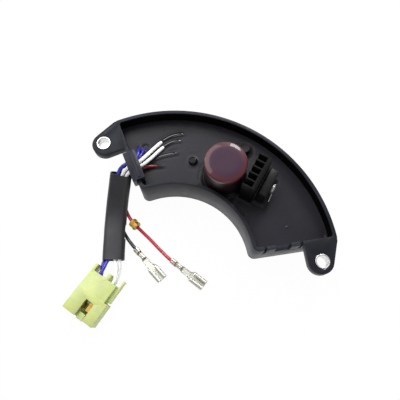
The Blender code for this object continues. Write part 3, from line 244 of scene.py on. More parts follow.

# %% [markdown]
# ## The wires
# Six wires of 1.9 mm leave the resin, cross each other under the clamp in two layers and run down a flattened
# sleeve. Four end in the plug, and the red and the black one leave the sleeve's side for their own terminals. A
# wire can't change its length, so each route is a list of points, smoothed by a curve that passes through all
# of them. These points are the imported model's own, so each wire lies exactly where the frame has it.

# %% Routes of the wires and of the sleeve
# Points in millimetres.
ROUTES = {
    "blue_a": [
        (-49.2, -5.64, 7.2), (-49.2, -5.64, 9.2), (-49.1, -6.44, 11.6), (-48.6, -8.44, 14.2),
        (-47.5, -10.44, 16.9), (-45.9, -13.04, 18.6), (-45.1, -15.84, 19), (-45.8, -17.74, 19),
        (-47.2, -19.54, 18.9), (-48.9, -21.74, 18.5), (-49.9, -24.04, 17.8), (-50, -26.04, 17.1),
        (-49.72, -27.43, 16.45), (-49.16, -30.01, 14.64), (-48.5, -32.58, 12.73), (-47.77, -35.61, 10.45),
        (-46.8, -39.04, 8.21), (-45.34, -43.05, 6.39), (-43.41, -47.55, 5.13), (-40.97, -52.69, 4.55),
        (-38.21, -57.87, 4.4), (-35.45, -63.06, 4.4), (-32.59, -68.26, 4.4), (-31.9, -70.64, 5.4),
        (-31.3, -73.24, 6.5), (-31.1, -75.84, 7.1), (-31.3, -77.84, 7.1), (-31.7, -82.54, 7.1),
    ],
    "blue_b": [
        (-46.2, -4.44, 7.2), (-46.2, -4.44, 9.2), (-46.2, -5.44, 11.4), (-46.1, -8.04, 13.7),
        (-45.4, -11.04, 15.3), (-45, -13.64, 16.4), (-45, -15.94, 16.6), (-45.8, -17.74, 16.6),
        (-47.1, -19.54, 16.5), (-49, -21.34, 16.1), (-50.4, -23.24, 15.4), (-50.08, -26.17, 14.55),
        (-49.56, -28.74, 12.76), (-48.94, -31.3, 10.87), (-48.21, -34.39, 8.55), (-47.25, -38.05, 6.19),
        (-45.74, -42.4, 4.21), (-43.7, -47.24, 2.87), (-41.16, -52.63, 2.25), (-38.37, -57.92, 2.1),
        (-35.61, -63.15, 2.1), (-32.76, -68.36, 2.1), (-33.9, -70.14, 3.3), (-32.7, -73.14, 3.6),
        (-31.6, -75.84, 3.1), (-31.4, -77.84, 2.9), (-31.7, -82.54, 2.9),
    ],
    "white_a": [
        (-29.6, 12.16, 7.2), (-29.6, 12.16, 9.2), (-31, 11.56, 11.2), (-33.8, 9.96, 12.1),
        (-36.6, 7.26, 12.1), (-38.6, 4.16, 12.4), (-40.1, 0.76, 13.9), (-40.9, -4.64, 16),
        (-41.7, -10.64, 17.8), (-42.6, -15.34, 18.8), (-43.5, -18.04, 19), (-44.5, -19.84, 19),
        (-46.1, -21.64, 18.7), (-47.2, -23.94, 17.7), (-47.41, -26.79, 16.45), (-46.72, -29.28, 14.64),
        (-45.93, -31.79, 12.73), (-45.05, -34.76, 10.45), (-43.98, -38.01, 8.21), (-42.46, -41.79, 6.39),
        (-40.45, -46.1, 5.13), (-37.93, -51.06, 4.55), (-35.08, -56.09, 4.4), (-32.21, -61.18, 4.4),
        (-29.22, -66.28, 4.4), (-26.9, -68.84, 5.4), (-24.5, -72.04, 6.5), (-22.9, -74.84, 7.1),
        (-22.7, -77.84, 7.1), (-23.1, -83.24, 7.1),
    ],
    "white_b": [
        (-28.8, 7.36, 7.2), (-28.8, 7.36, 9.2), (-30.2, 6.96, 11.2), (-32.9, 5.76, 12.1),
        (-35, 3.66, 12.1), (-36.5, 1.26, 12.5), (-37.6, -1.44, 13.9), (-38.3, -6.64, 16),
        (-39, -12.04, 17.8), (-40.1, -16.44, 18.8), (-41.6, -19.44, 19), (-42.7, -21.24, 19),
        (-44.2, -22.94, 18.5), (-45.15, -26.15, 16.45), (-44.46, -28.6, 14.64), (-43.67, -31.09, 12.73),
        (-42.79, -34.05, 10.45), (-41.76, -37.2, 8.21), (-40.28, -40.85, 6.39), (-38.31, -45.05, 5.13),
        (-35.83, -49.92, 4.55), (-33.01, -54.91, 4.4), (-30.13, -59.98, 4.4), (-27.16, -65.07, 4.4),
        (-25, -68.24, 3.4), (-23.8, -71.44, 2.9), (-22.8, -74.84, 2.9), (-22.7, -77.84, 2.9),
        (-23.1, -83.24, 2.9),
    ],
    "black": [
        (-26.8, 0.96, 7.2), (-26.8, 0.96, 9.2), (-28.6, -0.04, 11.2), (-31.4, -2.34, 12.1),
        (-34.2, -4.94, 12.2), (-36.8, -7.84, 12.8), (-39, -10.84, 14.1), (-41.1, -14.04, 15.6),
        (-43.1, -17.34, 16.5), (-44.5, -19.84, 16.6), (-46.1, -21.54, 16.4), (-47.4, -23.34, 15.6),
        (-47.77, -25.52, 14.55), (-47.03, -27.98, 12.76), (-46.19, -30.45, 10.87), (-45.23, -33.46, 8.55),
        (-44.09, -36.9, 6.19), (-41.8, -40.84, 4.2), (-39.2, -45.24, 2.9), (-37.2, -48.04, 2.3),
        (-34.9, -50.24, 1.7), (-32.3, -51.84, 1.2), (-29.4, -53.34, 1), (-26.9, -54.34, 1.3),
        (-24.8, -55.14, 1.65), (-20.9, -56.44, 1.65),
    ],
    "red": [
        (-29.8, -9.34, 7.2), (-29.8, -9.34, 9.2), (-31.6, -10.64, 11.6), (-34.4, -12.54, 13.8),
        (-37, -14.54, 15.4), (-39.5, -16.94, 16.4), (-41.3, -19.24, 16.6), (-42.5, -21.34, 16.6),
        (-44.1, -22.84, 16.1), (-45.5, -24.89, 14.55), (-44.83, -27.32, 12.76), (-44.05, -29.79, 10.87),
        (-43.15, -32.8, 8.55), (-42.09, -36.16, 6.19), (-40.6, -38.44, 5), (-38.7, -40.34, 3.3),
        (-36.1, -42.14, 2.6), (-33.5, -43.44, 2.6), (-30.8, -44.44, 2.6), (-27, -45.44, 2.2),
        (-23.2, -46.34, 1.6), (-19.5, -47.24, 1.1), (-15.6, -48.34, 1), (-11.8, -49.44, 1.1),
        (-8.2, -50.44, 1.4), (-4.9, -51.24, 1.65), (-0.8, -51.84, 1.65),
    ],
    "sleeve": [
        (-48.6, -26.44, 15.5), (-47.9, -28.94, 13.7), (-47.1, -31.44, 11.8), (-46.2, -34.44, 9.5),
        (-45.1, -37.84, 7.2), (-43.5, -41.84, 5.3), (-41.4, -46.34, 4), (-38.8, -51.44, 3.4),
        (-35.9, -56.54, 3.25), (-33, -61.64, 3.25), (-30, -66.74, 3.25),
    ],
}
STEP = 0.8 * MM


def smooth_line(points):
    """Points a step apart on a smooth curve through all the given ones."""
    knots = [Vector([value * MM for value in p]) for p in points]
    knots = [knots[0] * 2 - knots[1]] + knots + [knots[-1] * 2 - knots[-2]]
    line = []
    for before, a, b, after in zip(knots, knots[1:], knots[2:], knots[3:]):
        count = max(1, round((b - a).length / STEP))
        for i in range(count):
            t = i / count
            line.append(0.5 * (2 * a + (b - before) * t + (2 * before - 5 * a + 4 * b - after) * t ** 2
                               + (3 * a - before - 3 * b + after) * t ** 3))
    return line + [knots[-2]]


LINES = {name: smooth_line(points) for name, points in ROUTES.items()}
for name, line in LINES.items():
    print(name, "runs", round(sum((b - a).length for a, b in zip(line, line[1:])) / MM, 1), "mm")

# %% [markdown]
# The insulation is smooth extruded plastic, so colour does most of the work: a slow drift of tone along the wire
# and a satin gloss that breaks up a little where fingers have dulled it. The red wire is painted darker near where
# it leaves the resin.

# %% Wire insulation
def insulation(name, colour, shade, roughness=0.34):
    made = Finish(name, colour, roughness, coat=0.15)
    made.mottle(0.006, 3.0, 0.35, 0.75, shade)
    made.roughen(0.0015, 4.0, 0.22, roughness - 0.1)
    made.raise_surface(made.grain(0.0009, 2.0), 0.00003)
    return made


INSULATION = {
    "blue": insulation("blue insulation", (0.022, 0.022, 0.30), (0.040, 0.042, 0.42)),
    "white": insulation("white insulation", (0.97, 0.97, 0.97), (0.93, 0.93, 0.93)),
    "black": insulation("black insulation", (0.003, 0.003, 0.0035), (0.006, 0.006, 0.0065), 0.30),
    "red": insulation("red insulation", (0.46, 0.014, 0.022), (0.58, 0.040, 0.062)),
}

RED_WIRE = INSULATION["red"]
# Darker red painted within a few millimetres of where the red wire leaves the resin.
far_from_red_exit = RED_WIRE.window(RED_WIRE.away_from((-0.0350, -0.0130, 0.0150)), 0.004, 0.010)
RED_WIRE.set("Base Color", RED_WIRE.mix(far_from_red_exit, (0.16, 0.009, 0.012, 1.0), RED_WIRE.base))

WIRE = 1.9 * MM


def round_curve(name, line, radius, resolution):
    """A capped round curve through all points of a line."""
    curve = bpy.data.curves.new(name, "CURVE")
    curve.dimensions = "3D"
    curve.bevel_depth = radius
    curve.bevel_resolution = resolution
    curve.use_fill_caps = True
    spline = curve.splines.new("POLY")
    spline.points.add(len(line) - 1)
    for point, place in zip(spline.points, line):
        point.co = (*place, 1.0)
    made = bpy.data.objects.new(name, curve)
    bpy.context.scene.collection.objects.link(made)
    return made


def lay_wire(name, node):
    """A wire as a round curve along its line, in place of the CAD model's coarser tube."""
    colour = name.split("_")[0]
    wire = round_curve("wire_" + name, LINES[name], WIRE / 2, 4)
    paint(wire, INSULATION[colour])
    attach(wire, "root")
    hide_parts(node)
    return wire


LEADS = {
    "blue_a": "blue_lead_a", "blue_b": "blue_lead_b", "white_a": "white_lead_a", "white_b": "white_lead_b",
    "black": "black_lead", "red": "red_lead",
}
WIRES = {name: lay_wire(name, node) for name, node in LEADS.items()}
print("laid", len(WIRES), "wires")

# %% [markdown]
# ## Working as by hand
# The next helpers keep the modelling short. *begin* adds a primitive as the only thing selected, *editing* opens
# it in edit mode, *pick* selects faces or edges by a test of their middle and normal, and *finish_piece* moves a
# piece's place into its mesh, shades it, paints it and lets it ride on the frame.

# %% Helpers for edit mode
def alone(piece):
    bpy.ops.object.select_all(action="DESELECT")
    piece.select_set(True)
    bpy.context.view_layer.objects.active = piece


def begin(primitive, name, **where):
    bpy.ops.object.select_all(action="DESELECT")
    primitive(**where)
    piece = bpy.context.active_object
    piece.name = piece.data.name = name
    return piece


@contextmanager
def editing(piece, mode="FACE"):
    alone(piece)
    bpy.ops.object.mode_set(mode="EDIT")
    bpy.ops.mesh.select_mode(type=mode)
    yield
    bpy.ops.object.mode_set(mode="OBJECT")


def pick(test, kind="faces"):
    """Selects the faces or edges of the mesh in edit mode whose middle passes the test."""
    mesh = bpy.context.edit_object.data
    shape = bmesh.from_edit_mesh(mesh)
    for face in shape.faces:
        face.select_set(False)
    for edge in shape.edges:
        edge.select_set(False)
    for item in getattr(shape, kind):
        middle = item.calc_center_median() if kind == "faces" else (item.verts[0].co + item.verts[1].co) / 2
        if test(middle, item):
            item.select_set(True)
    bmesh.update_edit_mesh(mesh)


def face_outwards():
    bpy.ops.mesh.select_all(action="SELECT")
    bpy.ops.mesh.normals_make_consistent(inside=False)


def points_of(mesh):
    """The points of a mesh as rows of x, y and z."""
    flat = np.zeros(len(mesh.vertices) * 3)
    mesh.vertices.foreach_get("co", flat)
    return flat.reshape(-1, 3)


def put(piece, place, turn, *inner):
    """Sets a piece at a place, turned about the vertical by some degrees, after any steps in its own axes."""
    matrix = Matrix.Translation(place) @ Matrix.Rotation(math.radians(turn), 4, "Z")
    for step in inner:
        matrix = matrix @ step
    piece.matrix_world = matrix
    bpy.context.view_layer.update()


def modify(piece, kind, **settings):
    """Adds one modifier and applies it."""
    alone(piece)
    step = piece.modifiers.new(kind.lower(), kind)
    for name, value in settings.items():
        setattr(step, name, value)
    bpy.ops.object.modifier_apply(modifier=step.name)


def turned(name, profile, steps=96):
    """Draws a profile of (radius, height) points by extruding one vertex from point to point, and spins it."""
    piece = begin(bpy.ops.mesh.primitive_plane_add, name, size=MM)
    points = [Vector((radius, 0.0, height)) for radius, height in profile]
    with editing(piece, "VERT"):
        bpy.ops.mesh.select_all(action="SELECT")
        bpy.ops.mesh.merge(type="CENTER")
        bpy.ops.mesh.select_all(action="SELECT")
        bpy.ops.transform.translate(value=points[0])
        for here, there in zip(points, points[1:]):
            bpy.ops.mesh.extrude_region_move(TRANSFORM_OT_translate={"value": there - here})
        bpy.ops.mesh.select_all(action="SELECT")
        bpy.ops.mesh.spin(steps=steps, angle=2 * math.pi, center=(0.0, 0.0, 0.0), axis=(0.0, 0.0, 1.0))
        bpy.ops.mesh.select_all(action="SELECT")
        bpy.ops.mesh.remove_doubles(threshold=0.000002)
        face_outwards()
    return piece


def finish_piece(piece, finish, *stands_for, slot=None, angle=40.0):
    alone(piece)
    bpy.ops.object.transform_apply(location=True, rotation=True, scale=True)
    bpy.ops.object.shade_smooth_by_angle(angle=math.radians(angle))
    paint(piece, finish)
    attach(piece, "root")
    if stands_for:
        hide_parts(*stands_for)
    print("made", piece.name, "with", len(piece.data.polygons), "faces")
    return piece


def softened_copy(node, name, radius, segments=2):
    """A CAD piece again, with its sharp edges rounded as a mould or a tumbler leaves them."""
    bpy.ops.object.select_all(action="DESELECT")
    piece = bpy.data.objects.new(name, nodes[node].data.copy())
    bpy.context.scene.collection.objects.link(piece)
    with editing(piece, "VERT"):
        bpy.ops.mesh.select_all(action="SELECT")
        bpy.ops.mesh.remove_doubles(threshold=0.000005)
        bpy.ops.mesh.dissolve_limited(angle_limit=math.radians(1.0))
    modify(piece, "BEVEL", width=radius, segments=segments, limit_method="ANGLE", angle_limit=math.radians(30),
           use_clamp_overlap=True, miter_outer="MITER_ARC", harden_normals=False)
    return piece


# %% [markdown]
# ## The moulded tray
# The tray is glass-filled black nylon: a satin skin with a very fine grain, faint flow marks, and a thin pale line
# along every edge, painted partly as wear where it has been handled and partly as a painted highlight. The CAD
# solid has the right walls, ears and comb slots, but its edges are knife sharp, and a black object is read almost
# wholly from the light on its edges. So a copy of the solid gets a small bevel, and the finish adds the grain and
# the pale edges and patches, whose bluish colour is partly a painted sheen. *Pointiness* tells how sharply a
# surface turns outwards, which is where plastic polishes itself and where the painted highlight goes.

# %% Black nylon, and the tray
def moulded_nylon(name, colour, wear_and_highlight, roughness):
    made = Finish(name, colour, roughness)
    edge = made.node("NewGeometry", output="Pointiness")
    # Wear and painted highlight: a pale colour along sharp outward edges, found by pointiness.
    rubbed_and_lit_edge = made.window(edge, 0.52, 0.62) * made.grain(0.0012, 4.0)
    cloud = made.window(made.grain(0.022, 3.0), 0.35, 0.8) * 0.35
    made.tint(rubbed_and_lit_edge + cloud, wear_and_highlight)
    made.roughen(0.004, 5.0, 0.18, roughness - 0.08)
    made.set("Specular IOR Level", 0.11)
    made.raise_surface(made.grain(0.00035, 3.0) + made.grain(0.006, 2.0) * 1.5, 0.00004)
    return made


# The second colour, on edges and patches, is partly wear and partly a painted bluish sheen and edge highlight.
NYLON = moulded_nylon("black nylon", (0.0130, 0.0134, 0.0172), (0.058, 0.062, 0.083), 0.36)
finish_piece(softened_copy("housing", "tray", 0.35 * MM), NYLON, "housing", slot="black_nylon")

# %% [markdown]
# ## The bushes
# A steel ring is pressed into each ear so that a bolt can be pulled tight without crushing the plastic. It is cut
# from tube and plated: bright, with fine turning marks round the bore. One ring is modelled from a cylinder by an
# inset and a bridge through its middle, and the other is made the same way.

# %% Plated steel, and two bushes
def plated_steel(name, colour, roughness, mark=0.00012):
    made = Finish(name, colour, roughness, metallic=1.0)
    stain = made.window(made.grain(0.003, 4.0), 0.45, 0.8)
    made.tint(stain * 0.6, tuple(value * 0.62 for value in colour))
    made.roughen(0.0008, 3.0, 0.25, roughness - 0.05)
    made.raise_surface(made.grain(mark, 2.0, stretch=(1.0, 1.0, 8.0)), 0.00001)
    return made


STEEL = plated_steel("bright plated steel", (0.78, 0.78, 0.77), 0.24)
BUSH_WALL = 0.65 * MM


def make_bush(node):
    low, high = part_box(node)
    outer = (high.x - low.x) / 2
    bore = outer - BUSH_WALL
    bush = begin(bpy.ops.mesh.primitive_cylinder_add, node + "_ring", vertices=72, radius=outer,
                 depth=high.z - low.z, location=(low + high) / 2)
    with editing(bush):
        pick(lambda middle, face: abs(face.normal.z) > 0.9)
        bpy.ops.mesh.inset(thickness=outer - bore)
        bpy.ops.mesh.delete(type="FACE")
    with editing(bush, "EDGE"):
        pick(lambda middle, edge: middle.xy.length < bore * 1.001
             and abs(edge.verts[0].co.z - edge.verts[1].co.z) < MM, "edges")
        bpy.ops.mesh.bridge_edge_loops()
    with editing(bush):
        face_outwards()
    modify(bush, "BEVEL", width=0.16 * MM, segments=2, limit_method="ANGLE", angle_limit=math.radians(50))
    finish_piece(bush, STEEL, node, slot="plated_steel")


for node in ("left_bush", "right_bush"):
    make_bush(node)

# %% [markdown]
# ## The wire clamp
# A bar of the same nylon snaps into two slots of the end wall and holds the wires down on it. It has a lengthwise
# rib, and its catch shows as a small knob beside the wall. It is handled more than the tray, so its finish is the
# same nylon with more wear, and with paler edges and patches that are partly painted highlight.

# %% Clamp
# Paler edges and patches: partly wear, partly painted highlight.
CLAMP_NYLON = moulded_nylon("clamp nylon", (0.013, 0.014, 0.020), (0.064, 0.067, 0.090), 0.30)
finish_piece(softened_copy("wire_clamp", "clamp", 0.45 * MM, 3), CLAMP_NYLON, "wire_clamp", slot="black_nylon")

# %% [markdown]
# ## The poured resin
# The resin was poured warm and set level, but it wets whatever stands in it. It climbs the walls in a thin curved
# lip, rises round each part, and where a wire lies just under it, the surface humps over the wire and dips beside
# it. That relief carries nearly all the light on the black surface. It can't be pushed out of a solid by
# operators, so a fine flat grid is bent to the tray's sector, and each of its points is raised by the sum of
# these effects. The CAD solid stays below it, as the body of the resin.

# %% Resin surface
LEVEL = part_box("potting_compound")[1].z
HOUSING_RADIUS = 82.6 * MM
ARC_CENTRE = Vector((0.0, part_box("housing")[1].y - HOUSING_RADIUS))
TRAY_INNER, TRAY_OUTER = 41.8 * MM, 80.8 * MM
TRAY_END = math.radians(38.3)
RIM_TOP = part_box("housing")[1].z
SKIN, SHEET_DEPTH = 0.40 * MM, 2.2 * MM


def wetting(distance, height, reach):
    """How far the resin climbs at a distance from what it wets."""
    return height * np.exp(-np.clip(distance, 0.0, None) / reach)


def distance_to_line(points, line):
    """For each point in the plane, its distance to the nearest point of a line, and that point's index."""
    tree = KDTree(len(line))
    for i, place in enumerate(line):
        tree.insert((place.x, place.y, 0.0), i)
    tree.balance()
    found = [tree.find((x, y, 0.0)) for x, y in points]
    return np.array([far for _, _, far in found]), np.array([index for _, index, _ in found])


def box_gap(x, y, node):
    """How far points in the plane lie outside a piece's box."""
    low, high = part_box(node)
    return np.hypot(np.maximum(np.maximum(low.x - x, x - high.x), 0.0),
                    np.maximum(np.maximum(low.y - y, y - high.y), 0.0))


def round_plan(node):
    """A round, upright piece's centre in the plane, and its radius."""
    low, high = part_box(node)
    return (low.x + high.x) / 2, (low.y + high.y) / 2, (high.x - low.x) / 2


def round_gap(x, y, node):
    """How far points in the plane lie outside a round, upright piece."""
    middle_x, middle_y, radius = round_plan(node)
    return np.hypot(x - middle_x, y - middle_y) - radius


def bump_at(gap, height, reach):
    return height * MM * np.exp(-(gap / (reach * MM)) ** 2)


# Each wire with the height of its ridge, and each pimple's x, y, height and reach, in millimetres.
BURIED_WIRES = {"white_a": 0.25, "white_b": 0.20, "black": 0.25, "red": 0.25, "blue_a": 0.20, "blue_b": 0.20}
PIMPLES = ((41.7, -8.3, 0.35, 0.5), (61.6, -2.9, 0.7, 0.5), (-62.4, -3.0, 0.7, 0.5), (-61.0, 0.6, 0.5, 0.45),
           (-30.0, 20.0, 0.2, 0.4), (9.5, -11.0, 0.5, 1.2), (-45.9, -6.0, -1.4, 1.3))
SCRATCH = ((13.2, -11.0), (19.0, -13.1))


def relief_over(x, y, radius, angle):
    """The height of the resin over its level at points of the tray."""
    wall = np.minimum(radius - TRAY_INNER, TRAY_OUTER - radius)
    end = np.minimum(angle - TRAY_END, math.pi - TRAY_END - angle) * radius
    rise = wetting(wall, 0.12 * MM, 0.30 * MM) + wetting(end, 0.12 * MM, 0.30 * MM)
    for node, height, reach in (("capacitor_film", 1.2, 0.8), ("small_capacitor", 0.6, 0.5),
                                ("filter_capacitor", 0.25, 0.4)):
        gap = round_gap(x, y, node)
        rise += wetting(gap, height * MM, reach * MM) - bump_at(gap - 2.0 * MM, 0.2 * height, 0.8)
    for node, height in (("heat_sink", 0.3), ("power_transistor", 1.2)):
        gap = box_gap(x, y, node)
        rise += wetting(gap, height * MM, 0.6 * MM) - bump_at(gap - 1.8 * MM, 0.1 * height, 0.7)
    plane = np.stack([x, y], axis=1)
    for name, ridge in BURIED_WIRES.items():
        line = [p for p in LINES[name] if p.z < LEVEL + 2.0 * MM]
        gap, nearest = distance_to_line(plane, line)
        depth = np.array([p.z for p in line])[nearest] - LEVEL
        along = nearest * STEP
        buried = np.clip((depth + 4.4 * MM) / (2.4 * MM), 0.0, 1.0)
        buried *= np.clip((along - 3.0 * MM) / (3.5 * MM), 0.0, 1.0)
        standing = np.exp(-(depth / (1.3 * MM)) ** 2)
        rise += buried * (bump_at(gap, ridge, 1.1) - bump_at(gap - 1.9 * MM, 0.12, 0.65))
        rise += 0.6 * MM * standing * np.exp(-gap / (0.6 * MM))
    (ax, ay), (bx, by) = SCRATCH
    span = math.hypot(bx - ax, by - ay) * MM
    along = ((x - ax * MM) * (bx - ax) + (y - ay * MM) * (by - ay)) * MM / span
    aside = ((x - ax * MM) * (by - ay) - (y - ay * MM) * (bx - ax)) * MM / span
    rise -= bump_at(np.hypot(aside, along - np.clip(along, 0.0, span)), 0.9, 0.45)
    for spot_x, spot_y, height, size in PIMPLES:
        rise += bump_at(np.hypot(x - spot_x * MM, y - spot_y * MM), height, size)
    return rise + 0.05 * MM * (np.sin(x * 190 + 2.0 * np.sin(y * 120)) * np.sin(y * 230 + 1.5))


def pour_resin():
    sheet = begin(bpy.ops.mesh.primitive_grid_add, "resin_surface", x_subdivisions=340, y_subdivisions=130,
                  size=1.0)
    mesh = sheet.data
    flat = points_of(mesh)
    u, v = flat[:, 0] + 0.5, flat[:, 1] + 0.5
    angle = (math.pi - TRAY_END) + (2 * TRAY_END - math.pi) * u
    radius = TRAY_INNER + (TRAY_OUTER - TRAY_INNER) * v
    x, y = ARC_CENTRE.x + radius * np.cos(angle), ARC_CENTRE.y + radius * np.sin(angle)
    flat = np.stack([x, y, LEVEL + SKIN + relief_over(x, y, radius, angle)], axis=1)
    mesh.vertices.foreach_set("co", flat.ravel())
    with editing(sheet):
        bpy.ops.mesh.select_all(action="SELECT")
        bpy.ops.mesh.extrude_region_move(TRANSFORM_OT_translate={"value": (0.0, 0.0, -SHEET_DEPTH)})
        face_outwards()
    return sheet


RESIN = Finish("poured black resin", (0.0160, 0.0156, 0.0215), 0.38)
CAN_X, CAN_Y, RIM = round_plan("capacitor_film")
# Painted shade: a ring of near-black resin round the main capacitor's foot.
off_foot_shade = RESIN.window(RESIN.away_from((CAN_X, CAN_Y, LEVEL)), RIM + 1.3 * MM, RIM + 2.3 * MM)
RESIN.tint(RESIN.window(RESIN.grain(0.03, 3.0), 0.4, 0.7) * 0.7, (0.0205, 0.0200, 0.0270))
RESIN.set("Base Color", RESIN.mix(off_foot_shade, (0.0015, 0.0015, 0.0020, 1.0), RESIN.base))
RESIN.roughen(0.012, 4.0, 0.16, 0.31)
RESIN.set("Specular IOR Level", 0.21)
RESIN.raise_surface(RESIN.grain(0.0035, 3.0) + RESIN.window(RESIN.grain(0.0008, 1.0), 0.72, 0.8) * 0.5, 0.00006)
finish_piece(pour_resin(), RESIN, slot="black_potting", angle=180.0)
paint(nodes["potting_compound"], RESIN)

# %% [markdown]
# ### The wall above the resin
# In the photograph the outer wall's inner face is much blacker than the rest of the tray. That face is painted near
# black here, as painted shade. A mask is 0 on that face alone, by its radius and its height.

# %% Painted shade on the outer wall
place = NYLON.node("TexCoord", output="Object")
level_place = NYLON.node("Mapping", None, {"Vector": place, "Scale": (1.0, 1.0, 0.0)})
reach = NYLON.node("VectorMath", {"operation": "DISTANCE"}, {0: level_place, 1: (*ARC_CENTRE, 0.0)},
                   output="Value")
height = NYLON.node("SeparateXYZ", None, {0: place}, output=2)
off_painted_shade = NYLON.window(reach, TRAY_OUTER + 0.1 * MM, TRAY_OUTER + 0.3 * MM)
off_painted_shade += 1 - NYLON.window(reach, TRAY_OUTER - 0.7 * MM, TRAY_OUTER - 0.4 * MM)
off_painted_shade += NYLON.window(height, RIM_TOP - 0.8 * MM, RIM_TOP - 0.5 * MM)
# Painted shade: near black on the outer wall's inner face.
NYLON.set("Base Color", NYLON.mix(off_painted_shade, (0.0012, 0.0012, 0.0016, 1.0), NYLON.base))

# %% [markdown]
# ### Wires just under the skin
# Three wires run under the surface for a stretch, and the resin over them is thin, tight and glossy, so each shows
# as a black hump with one bright line along its crest. Each hump is a round curve along the wire's own line, held
# at the height of the skin and sinking away at its far end.

# %% Humps over the buried wires
GLOSS = Finish("wet black resin", (0.0020, 0.0020, 0.0028), 0.14, coat=1.0)
GLOSS.set("Coat Roughness", 0.04)
GLOSS.roughen(0.003, 3.0, 0.12, 0.08)
GLOSS.raise_surface(GLOSS.grain(0.002, 2.0), 0.00005)
HUMP_RADIUS, HUMP_CREST, HUMP_SINK = 1.10 * MM, 0.60 * MM, 1.6 * MM


def raise_hump(wire):
    """A ridge of glossy resin over the part of a wire that lies just under the surface."""
    line = LINES[wire]
    out = next(i for i, place in enumerate(line) if place.z > LEVEL - 0.3 * MM)
    run = [place for place in line[:out] if place.z > LEVEL - 3.2 * MM]
    lowest = LEVEL + SKIN + HUMP_CREST - HUMP_RADIUS
    crest = [Vector((place.x, place.y, max(place.z, lowest) - HUMP_SINK * math.exp(-i / 1.8)))
             for i, place in enumerate(run)]
    alone(round_curve(wire + "_hump", crest, HUMP_RADIUS, 5))
    bpy.ops.object.convert(target="MESH")
    finish_piece(bpy.context.active_object, GLOSS, slot="black_potting")


for wire in ("white_a", "white_b", "black"):
    raise_hump(wire)

# %% [markdown]
# ## The main capacitor
# An aluminium can stands in a tight sleeve of brown shrink film. The film is folded over the top as a flat ring
# that slopes a little to the rim, and it is this slope that catches the lamp as one white patch. Under the rim the
# film steps in where it grips the can. A profile of that section is drawn and spun, as on a lathe, outside and
# inside, so that the film is a real skin over the can.

# %% Shrink film, and the capacitor's wrap
def shrink_film(name, colour, rim, roughness):
    made = Finish(name, colour, roughness)
    made.set("Coat Roughness", 0.03)
    made.set("Specular IOR Level", 0.25)
    made.mottle(0.009, 3.0, 0.35, 0.75, rim)
    made.roughen(0.003, 3.0, 0.14, roughness - 0.06)
    made.raise_surface(made.grain(0.004, 2.0) + made.grain(0.0012, 2.0, stretch=(1.0, 1.0, 0.12)) * 0.4, 0.00002)
    return made


def stand_at(piece, node):
    piece.location = (*round_plan(node)[:2], 0.0)
    return piece


def arc_points(centre_radius, centre_height, radius, first, last, count):
    """Points of a round corner, its angles in degrees from straight up."""
    turns = [math.radians(first + (last - first) * i / count) for i in range(count + 1)]
    return [(centre_radius + radius * math.sin(t), centre_height + radius * math.cos(t)) for t in turns]


FILM = shrink_film("brown shrink film", (0.033, 0.0066, 0.029), (0.038, 0.0070, 0.027), 0.42)
FOOT, TOP = (corner.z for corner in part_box("capacitor_film"))
out = FILM.away_from((CAN_X, CAN_Y, TOP))
FILM.set("Coat Weight", FILM.window(out, RIM - 3.0 * MM, RIM - 2.4 * MM) * 0.42 + 0.03)
edge_colour = FILM.mix(FILM.window(out, RIM - 4.5 * MM, RIM - 1.0 * MM), FILM.base, (0.070, 0.0110, 0.020, 1.0))
# Painted shade and reflection: the film's side turns near black a few millimetres below the rim.
shaded_side_colour = FILM.mix(FILM.window(out, RIM + 0.3 * MM, RIM + 1.2 * MM), edge_colour, (0.013, 0.0035, 0.006, 1.0))
FILM.set("Base Color", shaded_side_colour)
outside = [(0.0, TOP - 0.10 * MM), (5.0 * MM, TOP - 0.07 * MM), (7.6 * MM, TOP),
           (8.6 * MM, TOP - 0.08 * MM), (9.4 * MM, TOP - 0.24 * MM)]
outside += arc_points(RIM - 1.1 * MM, TOP - 1.42 * MM, 1.1 * MM, 16, 90, 7)
outside += [(RIM, TOP - 2.5 * MM), (RIM - 0.02 * MM, TOP - 2.9 * MM), (RIM - 0.24 * MM, TOP - 3.2 * MM),
            (RIM - 0.26 * MM, TOP - 4.4 * MM), (RIM - 0.24 * MM, FOOT)]
inside = [(RIM - 0.52 * MM, FOOT), (RIM - 0.52 * MM, TOP - 1.8 * MM), (RIM - 1.0 * MM, TOP - 0.72 * MM),
          (7.6 * MM, TOP - 0.45 * MM), (0.0, TOP - 0.60 * MM)]
wrap = stand_at(turned("capacitor_wrap", outside + inside, 128), "capacitor_film")
finish_piece(wrap, FILM, "capacitor_film", slot="brown_shrink_film", angle=50.0)

# %% [markdown]
# ## The two small capacitors
# The one behind the main capacitor is nearly the colour of the resin. The other shows only as a black button,
# because it was dipped before it was potted. Both are spun from a short profile.

# %% Small capacitors
def button(node, name, edge, dish=0.0):
    """An upright round part with a rounded top edge and, if asked, a dished top."""
    radius, top = round_plan(node)[2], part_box(node)[1].z
    profile = [(0.0, top - dish), (radius - edge - 0.3 * MM, top - dish), (radius - edge, top)]
    profile += arc_points(radius - edge, top - edge, edge, 15, 90, 5)
    profile += [(radius, FOOT), (0.0, FOOT)]
    return stand_at(turned(name, profile, 64), node)


DULL_FILM = shrink_film("dark shrink film", (0.0060, 0.0040, 0.0045), (0.0085, 0.0055, 0.0060), 0.62)
finish_piece(button("small_capacitor", "small_capacitor_wrap", 0.6 * MM, 0.2 * MM), DULL_FILM, "small_capacitor",
             slot="brown_shrink_film")
DIPPED = Finish("dipped black lacquer", (0.0022, 0.0022, 0.0030), 0.24)
DIPPED.set("Specular IOR Level", 0.14)
DIPPED.roughen(0.002, 3.0, 0.12, 0.18)
DIPPED.raise_surface(DIPPED.grain(0.0016, 2.0), 0.00002)
finish_piece(button("filter_capacitor", "filter_capacitor_button", 1.3 * MM), DIPPED, "filter_capacitor",
             slot="black_epoxy")

